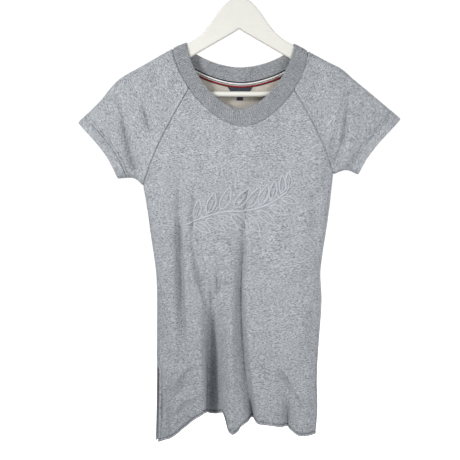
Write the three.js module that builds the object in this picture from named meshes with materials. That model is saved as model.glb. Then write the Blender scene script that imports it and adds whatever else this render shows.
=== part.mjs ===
/**
 * Sweatshirt dress on a hanger: a raglan, short sleeved fleece dress with a ribbed neck band and side
 * vents, hanging from a wooden hanger with a trouser bar and a wire hook.
 *
 * Millimetres, +Z up. The origin is the underside of the hook's crown, where a rail carries it. The
 * dress faces -Y and its wearer's right side is at -X.
 *
 * The cloth hangs in two layers that close along its outline. A layer is described over the front
 * view plane: every point (x, z) inside the outline has a half depth, which starts at zero on the
 * outline, rounds over a small bend and then follows the drape and its folds.
 */
import * as THREE from 'three';

// ---------------------------------------------------------------- driving dimensions
const WALL = 2; // fleece with its brushed back
const SEAM_GAP = 0.3;
const NECK_CLEAR = 0.32; // from the neck line to the cloth's straight facets beside it
const BEND = 10; // radius of the bend where a layer turns round the outline
const SETTLE = 72; // distance from the outline over which the drape reaches its full depth
const FRONT = -1;
const BACK = 1;

const RIB_COUNT = 160;
const RIB_RISE = 0.7;
const NECK_POWERS = { across: 1.15, down: 1.32 }; // they turn an ellipse into the neck's softer scoop

const TAPE = { width: 12, thick: 1, reach: 92, steps: 36 };
const NECK_LABEL = { top: 48, bottom: 39, height: 8.5, thick: 1, steps: 10 };
const SIZE_LABEL = { width: 12, height: 15, thick: 1, steps: 3 };

const HANGER = {
  crown: -72, // top of the bell arch
  thick: 12,
  bevel: 3,
  armStart: { x: 97, z: -156.3 },
  armEnd: { x: 196, z: -208.2 },
  tip: { x: 212, z: -229 },
  foot: -264,
  socket: 184, // inner faces that hold the bar
  crotch: -130.2, // underside of the arch
  archPull: 40, // control points of the arch's curve
  waistPull: { x: 50, z: -135 },
  endPull: { x: 10, z: 5.2 }, // of the round where an arm turns down to its foot
  corner: 10,
  notch: 7, // half width of the round under the arch
  taper: 1.06, // how much steeper the arms are below than above
};
const BAR = { radius: 5.35, z: -254.7 };
const HOOK = {
  wire: 2,
  bow: 20,
  stem: 46,
  ease: 4, // of the bend from the bow into the stem
  tipAngle: 200,
  heelAngle: -38,
  sides: 8,
  turns: 12,
  steps: 34,
};

// ---------------------------------------------------------------- outline of the dress
// Each side's upper line runs from the neck over the shoulder to the sleeve's tip. Its lower line
// runs from the cuff's lower corner under the arm and down the side to the hem.
const SIDES = {
  left: {
    sign: -1,
    cuffHollow: 6, // how far the middle of the cuff's edge draws in
    upper: [
      { x: -104.8, z: -156.6 },
      { x: -132, z: -168 },
      { x: -186, z: -197.4 },
      { x: -236, z: -225.2 },
      { x: -254, z: -242 },
      { x: -276, z: -268 },
      { x: -320.7, z: -309.4 },
    ],
    under: [
      { x: -244.4, z: -421.4 },
      { x: -212, z: -421.5 },
      { x: -194.1, z: -435.8 },
    ],
    flank: [
      { x: -194.1, z: -435.8 },
      { x: -188.8, z: -470 },
      { x: -180.6, z: -539 },
      { x: -172, z: -610 },
      { x: -170.3, z: -666 },
      { x: -172.7, z: -783 },
      { x: -175.3, z: -894 },
      { x: -179.3, z: -990 },
    ],
  },
  right: {
    sign: 1,
    cuffHollow: 4,
    upper: [
      { x: 108.6, z: -158.9 },
      { x: 133, z: -171.2 },
      { x: 176, z: -193.2 },
      { x: 201, z: -205.4 },
      { x: 225, z: -225 },
      { x: 261, z: -253.4 },
      { x: 321.4, z: -302.1 },
    ],
    under: [
      { x: 239.9, z: -413.1 },
      { x: 217, z: -405 },
      { x: 190, z: -413 },
    ],
    flank: [
      { x: 190, z: -413 },
      { x: 186.4, z: -455 },
      { x: 181.6, z: -505 },
      { x: 172.4, z: -577 },
      { x: 169, z: -615 },
      { x: 172.6, z: -675 },
      { x: 168.6, z: -770 },
      { x: 167, z: -840 },
      { x: 169.4, z: -905 },
      { x: 165.5, z: -975 },
    ],
  },
};

// Half depth of each layer at the middle of the body, by height, and of the sleeves.
const DEPTHS = [
  { z: -150, front: 11, back: 11 },
  { z: -205, front: 14, back: 14 },
  { z: -260, front: 17, back: 16 },
  { z: -330, front: 23, back: 19 },
  { z: -430, front: 28, back: 24 },
  { z: -600, front: 31, back: 30 },
  { z: -780, front: 38, back: 38 },
  { z: -990, front: 46, back: 48 },
];
const SLEEVE_DEPTH = 19;
const SLEEVE_BLEND = { from: 150, to: 255, floor: -440 }; // across the dress, and down to under the arms

// Troughs in the front and back layers. Each runs from its top to its end with a sideways bow, is
// deepest at a fraction of its way, and keeps a share of that depth at its end.
const FOLDS = {
  [FRONT]: [
    { x: -47, z: -585, toX: -60, toZ: -990, bow: -3, depth: 55, left: 33, right: 37, peak: 1, keep: 1 },
    { x: 20, z: -425, toX: 30, toZ: -960, bow: -22, depth: 17, left: 21, right: 26, peak: 0.9, keep: 1 },
    { x: -119, z: -430, toX: -116, toZ: -800, bow: -3, depth: 9, left: 15, right: 19, peak: 0.7, keep: 0 },
    { x: -86, z: -440, toX: -66, toZ: -700, bow: -4, depth: 6.5, left: 14, right: 17, peak: 0.55, keep: 0.3 },
    { x: 70, z: -690, toX: 106, toZ: -950, bow: 3, depth: 9, left: 24, right: 22, peak: 0.9, keep: 1 },
    { x: -152, z: -815, toX: -157, toZ: -985, bow: 0, depth: 10, left: 15, right: 18, peak: 0.6, keep: 0.5 },
    { x: -229, z: -272, toX: -192, toZ: -436, bow: -5, depth: 7.5, left: 21, right: 25, peak: 0.75, keep: 0.4 },
    { x: -188, z: -262, toX: -160, toZ: -352, bow: -3, depth: 4, left: 19, right: 21, peak: 0.5, keep: 0 },
    { x: 219, z: -250, toX: 188, toZ: -412, bow: -3, depth: 7.5, left: 24, right: 22, peak: 0.75, keep: 0.4 },
  ],
  [BACK]: [
    { x: 64, z: -560, toX: 74, toZ: -990, bow: 4, depth: 34, left: 40, right: 36, peak: 1, keep: 1 },
    { x: -84, z: -600, toX: -98, toZ: -990, bow: -3, depth: 26, left: 34, right: 38, peak: 1, keep: 1 },
    { x: 8, z: -330, toX: -14, toZ: -800, bow: 6, depth: 9, left: 20, right: 24, peak: 0.6, keep: 0.1 },
    { x: 122, z: -430, toX: 118, toZ: -760, bow: 4, depth: 8, left: 17, right: 18, peak: 0.6, keep: 0 },
    { x: 226, z: -264, toX: 190, toZ: -420, bow: 4, depth: 7, left: 24, right: 22, peak: 0.7, keep: 0.4 },
    { x: -232, z: -280, toX: -194, toZ: -436, bow: -4, depth: 7, left: 22, right: 24, peak: 0.75, keep: 0.4 },
  ],
};
const FOLD_FADE = 24; // folds die out this close to the outline
const FOLD_OVERRUN = 1.25; // how far past its end, as a share of its way, a fold that keeps depth runs on

// The hem's height across the front and the back, lifted where the folds draw it up.
const HEMS = [
  { x: -184, front: -975, back: -987 },
  { x: -152, front: -963, back: -977 },
  { x: -124, front: -943, back: -965 },
  { x: -97, front: -923, back: -953 },
  { x: -62, front: -919, back: -942 },
  { x: -36, front: -922, back: -945 },
  { x: -14, front: -949, back: -950 },
  { x: 6, front: -934, back: -953 },
  { x: 34, front: -927, back: -955 },
  { x: 70, front: -932, back: -953 },
  { x: 98, front: -938, back: -953 },
  { x: 120, front: -951, back: -961 },
  { x: 142, front: -957, back: -968 },
  { x: 168, front: -960, back: -972 },
];

// Side vents: below their top the front's edges step inside the back's and swing forward. The side
// seam opens where that step has grown to its start.
const VENT = { top: -775, full: -900, inset: 8.5, swing: 15, start: 0.5 };

// Neck lines of the band: half widths at the shoulder and drops at the middle.
const NECK = {
  inner: { half: 106.7, frontDrop: 127.5, backDrop: 45, shift: 0 },
  outer: { half: 132.5, frontDrop: 148, backDrop: 66, shift: 5 },
};
const RAGLAN = { frontTop: 0.205, backTop: 0.245, bulge: 6.3 }; // where each seam leaves the neck

// ---------------------------------------------------------------- small helpers
const mix = (a, b, s) => a + (b - a) * s;
const clamp01 = (s) => Math.min(Math.max(s, 0), 1);
const smooth = (s) => clamp01(s) ** 2 * (3 - 2 * clamp01(s));
const signedPower = (value, power) => Math.sign(value) * Math.abs(value) ** power;

/** Smooth function of a table's `input` column that passes through its `output` column. */
function through(rows, input, output) {
  const order = [...rows].sort((a, b) => a[input] - b[input]);
  const xs = order.map((row) => row[input]);
  const ys = order.map((row) => row[output]);
  const last = xs.length - 1;
  const slope = (i) => {
    const before = Math.max(i - 1, 0);
    const after = Math.min(i + 1, last);
    return (ys[after] - ys[before]) / (xs[after] - xs[before]);
  };
  return (at) => {
    const x = Math.min(Math.max(at, xs[0]), xs[last]);
    let i = 0;
    while (i < last - 1 && x > xs[i + 1]) {
      i += 1;
    }
    const span = xs[i + 1] - xs[i];
    const s = (x - xs[i]) / span;
    const ease = s * s * (3 - 2 * s);
    const leave = s * (1 - s) * (1 - s) * span * slope(i);
    const arrive = s * s * (s - 1) * span * slope(i + 1);
    return mix(ys[i], ys[i + 1], ease) + leave + arrive;
  };
}

/** Smooth plane curve through a table's points, as a function of its fraction 0 to 1. */
function curveOf(rows) {
  const points = rows.map((row) => new THREE.Vector3(row.x, 0, row.z));
  const curve = new THREE.CatmullRomCurve3(points, false, 'centripetal');
  return (s) => {
    const point = curve.getPointAt(clamp01(s));
    return { x: point.x, z: point.z };
  };
}

/** The curve moved sideways, to the left of its direction of travel as seen from the front. */
function shifted(curve, distance) {
  const step = 1e-3;
  return (s) => {
    const point = curve(s);
    const behind = curve(clamp01(s - step));
    const ahead = curve(clamp01(s + step));
    const length = Math.hypot(ahead.x - behind.x, ahead.z - behind.z);
    return {
      x: point.x - ((ahead.z - behind.z) / length) * distance,
      z: point.z + ((ahead.x - behind.x) / length) * distance,
    };
  };
}

/** A line of the outline, with the distance from it and its unit tangent at the nearest point. */
class OutlineLine {
  constructor(curves, samples = 60) {
    this.points = curves.flatMap((curve, k) =>
      Array.from({ length: samples + 1 }, (_, i) => curve(i / samples)).slice(k === 0 ? 0 : 1));
  }

  nearest(x, z) {
    let best = { distance: Infinity };
    for (let i = 1; i < this.points.length; i += 1) {
      const a = this.points[i - 1];
      const b = this.points[i];
      const along = { x: b.x - a.x, z: b.z - a.z };
      const length = Math.hypot(along.x, along.z);
      const s = clamp01(((x - a.x) * along.x + (z - a.z) * along.z) / (length * length));
      const distance = Math.hypot(x - a.x - along.x * s, z - a.z - along.z * s);
      if (distance < best.distance) {
        best = { distance, tangent: { x: along.x / length, z: along.z / length } };
      }
    }
    return best;
  }
}

// ---------------------------------------------------------------- drape
const LINES = Object.fromEntries(Object.entries(SIDES).map(([name, side]) => [name, {
  sign: side.sign,
  cuffHollow: side.cuffHollow,
  upper: curveOf(side.upper),
  under: curveOf(side.under),
  flankX: through(side.flank, 'z', 'x'),
  upperLine: new OutlineLine([curveOf(side.upper)]),
  lowerLine: new OutlineLine([curveOf(side.under), curveOf(side.flank)], 90),
  armpit: side.flank[0],
}]));
const OUTLINES = [LINES.left.upperLine, LINES.right.upperLine, LINES.left.lowerLine, LINES.right.lowerLine];
const depthOf = { [FRONT]: through(DEPTHS, 'z', 'front'), [BACK]: through(DEPTHS, 'z', 'back') };
const hemOf = { [FRONT]: through(HEMS, 'x', 'front'), [BACK]: through(HEMS, 'x', 'back') };

/** Depth that the folds of a layer take from it at a point. */
function foldDepth(layer, x, z) {
  let total = 0;
  for (const fold of FOLDS[layer]) {
    const s = (fold.z - z) / (fold.z - fold.toZ);
    if (s <= 0 || s > FOLD_OVERRUN) {
      continue;
    }
    const middle = mix(fold.x, fold.toX, s) + fold.bow * Math.sin(Math.PI * clamp01(s));
    const across = (x - middle) / (x < middle ? fold.left : fold.right);
    if (Math.abs(across) >= 1) {
      continue;
    }
    const rise = smooth(s / fold.peak);
    const fade = fold.peak < 1 ? mix(1, fold.keep, smooth((s - fold.peak) / (1 - fold.peak))) : 1;
    total += fold.depth * rise * fade * 0.5 * (1 + Math.cos(Math.PI * across));
  }
  return total;
}

/** Half depth of a layer at a point of the front view. */
function halfDepth(layer, x, z) {
  const distances = OUTLINES.map((line) => line.nearest(x, z).distance);
  const bend = distances.reduce((product, d) => product * Math.sqrt(1 - (1 - clamp01(d / BEND)) ** 2), 1);
  const settle = distances.reduce((product, d) => product * Math.sin((Math.PI / 2) * clamp01(d / SETTLE)), 1);
  const { from, to, floor } = SLEEVE_BLEND;
  const onSleeve = z > floor ? smooth((Math.abs(x) - from) / (to - from)) : 0;
  const full = mix(depthOf[layer](z), SLEEVE_DEPTH, onSleeve);
  const edge = Math.min(...distances);
  const open = layer === FRONT ? smooth((VENT.top - z) / (VENT.top - VENT.full)) : 0;
  const swing = VENT.swing * open * (1 - smooth(edge / SETTLE));
  return BEND * bend + (full - BEND) * settle + swing - foldDepth(layer, x, z) * smooth(edge / FOLD_FADE);
}

const SLOPE_STEP = { least: 0.02, most: 0.5 }; // finer steps beside the outline, where the cloth turns fast

/** A point of the cloth's outer face with its outward normal. */
function clothPoint(layer, x, z) {
  const edge = Math.min(...OUTLINES.map((line) => line.nearest(x, z).distance));
  const step = Math.min(Math.max(edge / 4, SLOPE_STEP.least), SLOPE_STEP.most);
  const slopeX = (halfDepth(layer, x + step, z) - halfDepth(layer, x - step, z)) / (2 * step);
  const slopeZ = (halfDepth(layer, x, z + step) - halfDepth(layer, x, z - step)) / (2 * step);
  return {
    point: new THREE.Vector3(x, layer * halfDepth(layer, x, z), z),
    normal: new THREE.Vector3(-slopeX, layer, -slopeZ).normalize(),
  };
}

/** A point on the outline itself, with the direction in the front view that leads out of the dress. */
function rimPoint(layer, x, z, outward) {
  return { point: new THREE.Vector3(x, (layer * SEAM_GAP) / 2, z), normal: outward.clone().normalize() };
}

/** Direction across an outline line at a point, away from a point inside the dress. */
function outwardFrom(line, x, z, inside) {
  const { tangent } = line.nearest(x, z);
  const normal = new THREE.Vector3(tangent.z, 0, -tangent.x);
  return normal.x * (x - inside.x) + normal.z * (z - inside.z) < 0 ? normal.negate() : normal;
}

// ---------------------------------------------------------------- closed walls
/**
 * Closed wall from rows of outer and inner points. With `ring`, each row closes on itself; if not,
 * the wall has an edge face on all four sides. Each four sided facet is split along its shorter
 * diagonal, which follows the folds.
 */
function wallGeometry(outer, inner, ring = false) {
  const rows = outer.length;
  const columns = outer[0].length;
  const points = [...outer.flat(), ...inner.flat()];
  const at = (side, r, c) => side * rows * columns + r * columns + (c % columns);
  const faces = [];
  const quad = (a, b, c, d) => {
    const halves = points[a].distanceTo(points[c]) < points[b].distanceTo(points[d])
      ? [a, b, c, a, c, d]
      : [a, b, d, b, c, d];
    faces.push(...halves);
  };
  const spans = ring ? columns : columns - 1;
  for (let r = 0; r < rows - 1; r += 1) {
    for (let c = 0; c < spans; c += 1) {
      quad(at(0, r, c), at(0, r, c + 1), at(0, r + 1, c + 1), at(0, r + 1, c));
      quad(at(1, r, c), at(1, r + 1, c), at(1, r + 1, c + 1), at(1, r, c + 1));
    }
  }
  for (let c = 0; c < spans; c += 1) {
    quad(at(0, 0, c), at(1, 0, c), at(1, 0, c + 1), at(0, 0, c + 1));
    quad(at(0, rows - 1, c), at(0, rows - 1, c + 1), at(1, rows - 1, c + 1), at(1, rows - 1, c));
  }
  for (let r = 0; !ring && r < rows - 1; r += 1) {
    quad(at(0, r, 0), at(0, r + 1, 0), at(1, r + 1, 0), at(1, r, 0));
    quad(at(0, r, spans), at(1, r, spans), at(1, r + 1, spans), at(0, r + 1, spans));
  }
  return facingOut(points, faces);
}

/** Geometry of a closed mesh, turned so that its faces point out. */
function facingOut(points, faces) {
  const corner = (k) => points[faces[k]].clone();
  let volume = 0;
  for (let k = 0; k < faces.length; k += 3) {
    volume += corner(k).dot(corner(k + 1).cross(corner(k + 2)));
  }
  const geometry = new THREE.BufferGeometry().setFromPoints(points);
  geometry.setIndex(volume > 0 ? faces : faces.reverse());
  geometry.computeVertexNormals();
  return geometry;
}

/** Wall of the cloth between two depths under its outer face, kept to its own side of the rim. */
function clothWall(grid, top, bottom, layers, ring = false) {
  const sunk = (depth) => grid.map((row, r) => row.map(({ point, normal }, c) => {
    const moved = point.clone().addScaledVector(normal, -depth);
    const layer = layers(r, c);
    if (layer !== 0) {
      moved.y = layer * Math.max(layer * moved.y, SEAM_GAP / 2);
    }
    return moved;
  }));
  return wallGeometry(sunk(top), sunk(bottom), ring);
}

// ---------------------------------------------------------------- seams
/** Point of a side's shoulder line at a distance from the middle of the neck. */
function shoulderPoint(name, x) {
  return LINES[name].upper(upperShare(name, x));
}

/** First fraction, from 0 up in fine steps, that passes a test. */
function firstShare(passes, step = 2e-4) {
  let share = 0;
  while (!passes(share)) {
    share += step;
  }
  return share;
}

/** Fraction of a shoulder line that lies over a position across the dress. */
function upperShare(name, x) {
  const { upper } = LINES[name];
  return firstShare((share) => Math.abs(upper(share).x) >= Math.abs(x) - 1e-6);
}

/** Neck line of the band, front or back, from the left shoulder (0) to the right one (1). */
function neckLine({ half, frontDrop, backDrop, shift }, layer) {
  const centre = (LINES.left.upper(0).x + LINES.right.upper(0).x) / 2;
  const slopeLeft = shoulderPoint('left', centre - half).z;
  const slopeRight = shoulderPoint('right', centre + half).z;
  const drop = layer === FRONT ? frontDrop : backDrop;
  return (s) => {
    const angle = Math.PI * s;
    const reach = Math.cos(angle);
    const sag = Math.abs(Math.sin(angle)) ** NECK_POWERS.down;
    return {
      x: centre - half * signedPower(reach, NECK_POWERS.across) + (layer === FRONT ? shift * sag : 0),
      z: mix(slopeLeft, slopeRight, s) - drop * sag,
    };
  };
}

const NECK_LINES = {
  inner: { [FRONT]: neckLine(NECK.inner, FRONT), [BACK]: neckLine(NECK.inner, BACK) },
  outer: { [FRONT]: neckLine(NECK.outer, FRONT), [BACK]: neckLine(NECK.outer, BACK) },
};

/** Fraction along the neck where a side's raglan seam starts. */
const raglanStart = (name, layer) => {
  const s = layer === FRONT ? RAGLAN.frontTop : RAGLAN.backTop;
  return name === 'left' ? s : 1 - s;
};

/** Raglan seam from the neck (0) to the armpit (1). */
function raglanSeam(name, layer) {
  const top = NECK_LINES.outer[layer](raglanStart(name, layer));
  const { armpit, sign } = LINES[name];
  return (s) => ({
    x: mix(top.x, armpit.x, s) + sign * RAGLAN.bulge * Math.sin(Math.PI * s),
    z: mix(top.z, armpit.z, s),
  });
}

/** Direction out of the dress at an armpit, straight down along its raglan seam. */
function armpitOut(name, layer) {
  const top = raglanSeam(name, layer)(0);
  const { armpit } = LINES[name];
  return new THREE.Vector3(armpit.x - top.x, 0, armpit.z - top.z);
}

// ---------------------------------------------------------------- body panels
const RAGLAN_STEPS = [0, 0.12, 0.25, 0.38, 0.51, 0.64, 0.77, 0.88, 0.945, 0.985, 1];
const RIM_STEPS = [0, 1.34, 5, 10]; // distances from an edge that follow its bend
const NECK_EASE = 1.15; // how soon the rows under the neck take on its curve

/** Fractions 0 to 1 spaced more closely where `weight` is larger. */
function spaced(count, weight) {
  const fine = 400;
  const sums = [0];
  for (let i = 0; i < fine; i += 1) {
    sums.push(sums[i] + weight((i + 0.5) / fine));
  }
  return Array.from({ length: count + 1 }, (_, k) => {
    const target = (sums[fine] * k) / count;
    const i = Math.min(sums.findIndex((sum) => sum >= target - 1e-9), fine);
    return i === 0 ? 0 : (i - 1 + (target - sums[i - 1]) / (sums[i] - sums[i - 1])) / fine;
  });
}

/** Positions across a row from its left edge to its right one, close together at both. */
function acrossRow(leftX, rightX, fractions) {
  const bend = RIM_STEPS[RIM_STEPS.length - 1];
  const middle = fractions.map((s) => mix(leftX + bend, rightX - bend, s));
  const edges = RIM_STEPS.slice(0, -1);
  return [...edges.map((d) => leftX + d), ...middle, ...edges.reverse().map((d) => rightX - d)];
}

/** How far a neck line sags under its chord between two fractions, by the share of its width. */
function sagUnder(neck, start, end) {
  const [first, last] = [neck(start), neck(end)];
  const samples = 160;
  const rows = Array.from({ length: samples + 1 }, (_, i) => {
    const point = neck(mix(start, end, i / samples));
    const share = (point.x - first.x) / (last.x - first.x);
    return { share, sag: mix(first.z, last.z, share) - point.z };
  });
  return through(rows, 'share', 'sag');
}

// Steps across and up each panel, closer together near its deepest folds.
const PANEL_GRIDS = {
  [FRONT]: { columns: 32, rows: 20, dense: [0.34] },
  [BACK]: { columns: 24, rows: 15, dense: [0.25, 0.74] },
};
const DENSER = { by: 1.1, within: 0.13 };

/** Front or back panel, from the hem to the neck seam between its two raglan seams. */
function panelGeometry(layer) {
  const { columns, rows, dense } = PANEL_GRIDS[layer];
  const nearFold = (s, fold) => DENSER.by * Math.exp(-(((s - fold) / DENSER.within) ** 2));
  const fractions = spaced(columns, (s) => dense.reduce((sum, fold) => sum + nearFold(s, fold), 1));
  const half = SEAM_GAP / 2;
  const neck = shifted(NECK_LINES.outer[layer], -NECK_CLEAR);
  const seams = {
    left: shifted(raglanSeam('left', layer), half),
    right: shifted(raglanSeam('right', layer), -half),
  };
  const [startLeft, startRight] = ['left', 'right'].map((name) => raglanStart(name, layer));
  const hem = hemOf[layer];
  const armpitAt = (s) => mix(LINES.left.armpit.z, LINES.right.armpit.z, s);
  const ventAt = (z) => smooth((VENT.top - z) / (VENT.top - VENT.full));
  const grid = [];

  for (let r = 0; r < rows; r += 1) {
    const rise = r / rows;
    const heightAt = (s, x) => mix(hem(x), armpitAt(s), rise);
    const leftZ = heightAt(0, HEMS[0].x);
    const rightZ = heightAt(1, HEMS[HEMS.length - 1].x);
    const inset = layer === FRONT ? VENT.inset * ventAt((leftZ + rightZ) / 2) : 0;
    const leftX = LINES.left.flankX(leftZ) + inset;
    const rightX = LINES.right.flankX(rightZ) - inset;
    const xs = acrossRow(leftX, rightX, fractions);
    grid.push(xs.map((x, c) => {
      const s = (x - leftX) / (rightX - leftX);
      const z = heightAt(s, x);
      if (inset < VENT.start && (c === 0 || c === xs.length - 1)) {
        const name = c === 0 ? 'left' : 'right';
        return rimPoint(layer, x, z, outwardFrom(LINES[name].lowerLine, x, z, { x: 0, z }));
      }
      return clothPoint(layer, x, z);
    }));
  }

  const sagAt = sagUnder(neck, startLeft, startRight);
  for (const step of [...RAGLAN_STEPS].reverse()) {
    const left = seams.left(step);
    const right = seams.right(step);
    const xs = acrossRow(left.x, right.x, fractions);
    grid.push(xs.map((x, c) => {
      const s = (x - left.x) / (right.x - left.x);
      const z = mix(left.z, right.z, s) - sagAt(s) * (1 - step) ** NECK_EASE;
      if (step === 1 && (c === 0 || c === xs.length - 1)) {
        return rimPoint(layer, x, z, armpitOut(c === 0 ? 'left' : 'right', layer));
      }
      return clothPoint(layer, x, z);
    }));
  }
  return clothWall(grid, 0, WALL, (r, c) => (c === 0 || c === grid[0].length - 1 ? layer : 0));
}

// ---------------------------------------------------------------- sleeves
const NECK_STEPS = [0, 0.04, 0.14, 0.28, 0.46, 0.64, 0.82]; // down the neck seam to the raglan seam
const NECK_SHARE = 0.27; // share of a sleeve's width that starts at the neck, the rest at the raglan seam
const SLEEVE_LENGTHS = 11;

/**
 * Sleeve: one sheet from the front raglan seam over the shoulder to the back one, closed by the
 * seam under the arm. Its rows run from the neck and raglan seams to the cuff.
 */
function sleeveGeometry(name) {
  const { sign, cuffHollow, upper, under, upperLine, lowerLine } = LINES[name];
  const half = SEAM_GAP / 2;
  const layerRows = (layer) => {
    const start = raglanStart(name, layer);
    const shoulder = name === 'left' ? 0 : 1;
    const neck = shifted(NECK_LINES.outer[layer], -NECK_CLEAR);
    const raglan = shifted(raglanSeam(name, layer), sign * half);
    const stops = [
      ...NECK_STEPS.map((s) => ({ t: s * NECK_SHARE, at: neck(mix(shoulder, start, s)) })),
      ...RAGLAN_STEPS.map((s) => ({ t: mix(NECK_SHARE, 1, s), at: raglan(s) })),
    ];
    const [tip, corner] = [upper(1), under(0)];
    const axis = { x: corner.z - tip.z, z: tip.x - corner.x };
    const length = Math.hypot(axis.x, axis.z);
    const hollow = (t) => (sign * cuffHollow * Math.sin(Math.PI * t)) / length;
    const cuff = (t) => ({
      x: mix(tip.x, corner.x, t) + axis.x * hollow(t),
      z: mix(tip.z, corner.z, t) + axis.z * hollow(t),
    });
    const upperFrom = upperShare(name, stops[0].at.x);
    const first = upper(upperFrom);
    const last = stops[stops.length - 1].at;
    stops[0].at = first;
    return stops.map(({ t, at }) => Array.from({ length: SLEEVE_LENGTHS + 1 }, (_, k) => {
      const v = k / SLEEVE_LENGTHS;
      const top = upper(mix(upperFrom, 1, v));
      const low = under(1 - v);
      const edge = cuff(t);
      const blend = (key) => mix(at[key], edge[key], v) + mix(top[key], low[key], t)
        - mix(mix(first[key], tip[key], v), mix(last[key], corner[key], v), t);
      const [x, z] = [blend('x'), blend('z')];
      const middle = { x: (tip.x + corner.x + first.x) / 3, z: (tip.z + corner.z + first.z) / 3 };
      if (t === 0) {
        return rimPoint(0, x, z, outwardFrom(upperLine, x, z, middle));
      }
      if (t === 1) {
        const out = k === 0 ? armpitOut(name, layer) : outwardFrom(lowerLine, x, z, middle);
        return rimPoint(layer, x, z, out);
      }
      return clothPoint(layer, x, z);
    }));
  };
  const front = layerRows(FRONT).reverse();
  const back = layerRows(BACK).slice(1);
  const grid = [...front, ...back];
  const layers = (r) => (r === 0 ? FRONT : 0) + (r === grid.length - 1 ? BACK : 0);
  return clothWall(grid, 0, WALL, layers);
}

// ---------------------------------------------------------------- neck band, tape and labels
/** Points along both halves of the neck, evenly spaced round the band at its middle. */
function roundNeck(count) {
  const fine = 600;
  const stations = [];
  for (const layer of [FRONT, BACK]) {
    for (let i = 0; i < fine; i += 1) {
      const s = layer === FRONT ? i / fine : 1 - i / fine;
      const a = NECK_LINES.inner[layer](s);
      const b = NECK_LINES.outer[layer](s);
      const [x, z] = [mix(a.x, b.x, 0.5), mix(a.z, b.z, 0.5)];
      stations.push({ layer, s, at: new THREE.Vector3(x, layer * halfDepth(layer, x, z), z) });
    }
  }
  const sums = [0];
  stations.forEach(({ at }, i) => sums.push(sums[i] + at.distanceTo(stations[(i + 1) % stations.length].at)));
  const total = sums[stations.length];
  return Array.from({ length: count }, (_, k) => {
    const target = (total * (k + 0.5)) / count;
    const i = sums.findIndex((sum) => sum > target) - 1;
    const share = (target - sums[i]) / (sums[i + 1] - sums[i]);
    const step = (stations[i].layer === FRONT ? share : -share) / fine;
    return { layer: stations[i].layer, s: stations[i].s + step };
  });
}

/** Ribbed neck band: a closed ring whose outer face rises in ribs over a plain inside. */
function ribGeometry() {
  const outerLines = {
    [FRONT]: shifted(NECK_LINES.outer[FRONT], SEAM_GAP / 2),
    [BACK]: shifted(NECK_LINES.outer[BACK], SEAM_GAP / 2),
  };
  const stations = roundNeck(RIB_COUNT * 2);
  const rowAt = (share) => stations.map(({ layer, s }) => {
    const a = NECK_LINES.inner[layer](s);
    const b = outerLines[layer](s);
    return clothPoint(layer, mix(a.x, b.x, share), mix(a.z, b.z, share));
  });
  const rows = [0, 1].map(rowAt);
  const raised = rows.map((row) => row.map(({ point, normal }, c) =>
    point.clone().addScaledVector(normal, c % 2 === 0 ? RIB_RISE : 0)));
  const plain = rows.map((row) => row.map(({ point, normal }) =>
    point.clone().addScaledVector(normal, -WALL)));
  return wallGeometry(raised, plain, true);
}

/** Patch that lies on the inside of the back, between two curves, clear of it by the seam gap. */
function insidePatch(upperEdge, lowerEdge, columns, thick) {
  const row = (edge) => Array.from({ length: columns + 1 }, (_, i) => {
    const { x, z } = edge(i / columns);
    return clothPoint(BACK, x, z);
  });
  const depth = WALL + SEAM_GAP;
  return clothWall([row(upperEdge), row(lowerEdge)], depth, depth + thick, () => 0);
}

/** The back neck seam, out to a distance on each side of its middle. */
function backSeam(reach) {
  const seam = NECK_LINES.outer[BACK];
  const start = firstShare((s) => seam(0.5).x - seam(s).x <= reach);
  return (s) => seam(mix(start, 1 - start, s));
}

/** Tape over the back neck seam. */
function tapeGeometry() {
  const seam = backSeam(TAPE.reach);
  return insidePatch(shifted(seam, TAPE.width / 2), shifted(seam, -TAPE.width / 2), TAPE.steps, TAPE.thick);
}

/** Upper edge of the neck label, along the foot of the tape. */
const labelTop = shifted(backSeam(NECK_LABEL.top / 2), -TAPE.width / 2 - SEAM_GAP);

/** Label sewn under the tape, narrower at its foot. */
function neckLabelGeometry() {
  const middle = labelTop(0.5).x;
  const foot = (s) => ({
    x: middle + (s - 0.5) * NECK_LABEL.bottom,
    z: labelTop(s).z - NECK_LABEL.height,
  });
  return insidePatch(labelTop, foot, NECK_LABEL.steps, NECK_LABEL.thick);
}

/** Small label under the neck label. */
function sizeLabelGeometry() {
  const { x: middle, z: top } = labelTop(0.5);
  const edge = (drop) => (s) => ({
    x: middle + (s - 0.5) * SIZE_LABEL.width,
    z: top - NECK_LABEL.height - SEAM_GAP - drop,
  });
  return insidePatch(edge(0), edge(SIZE_LABEL.height), SIZE_LABEL.steps, SIZE_LABEL.thick);
}

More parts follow.
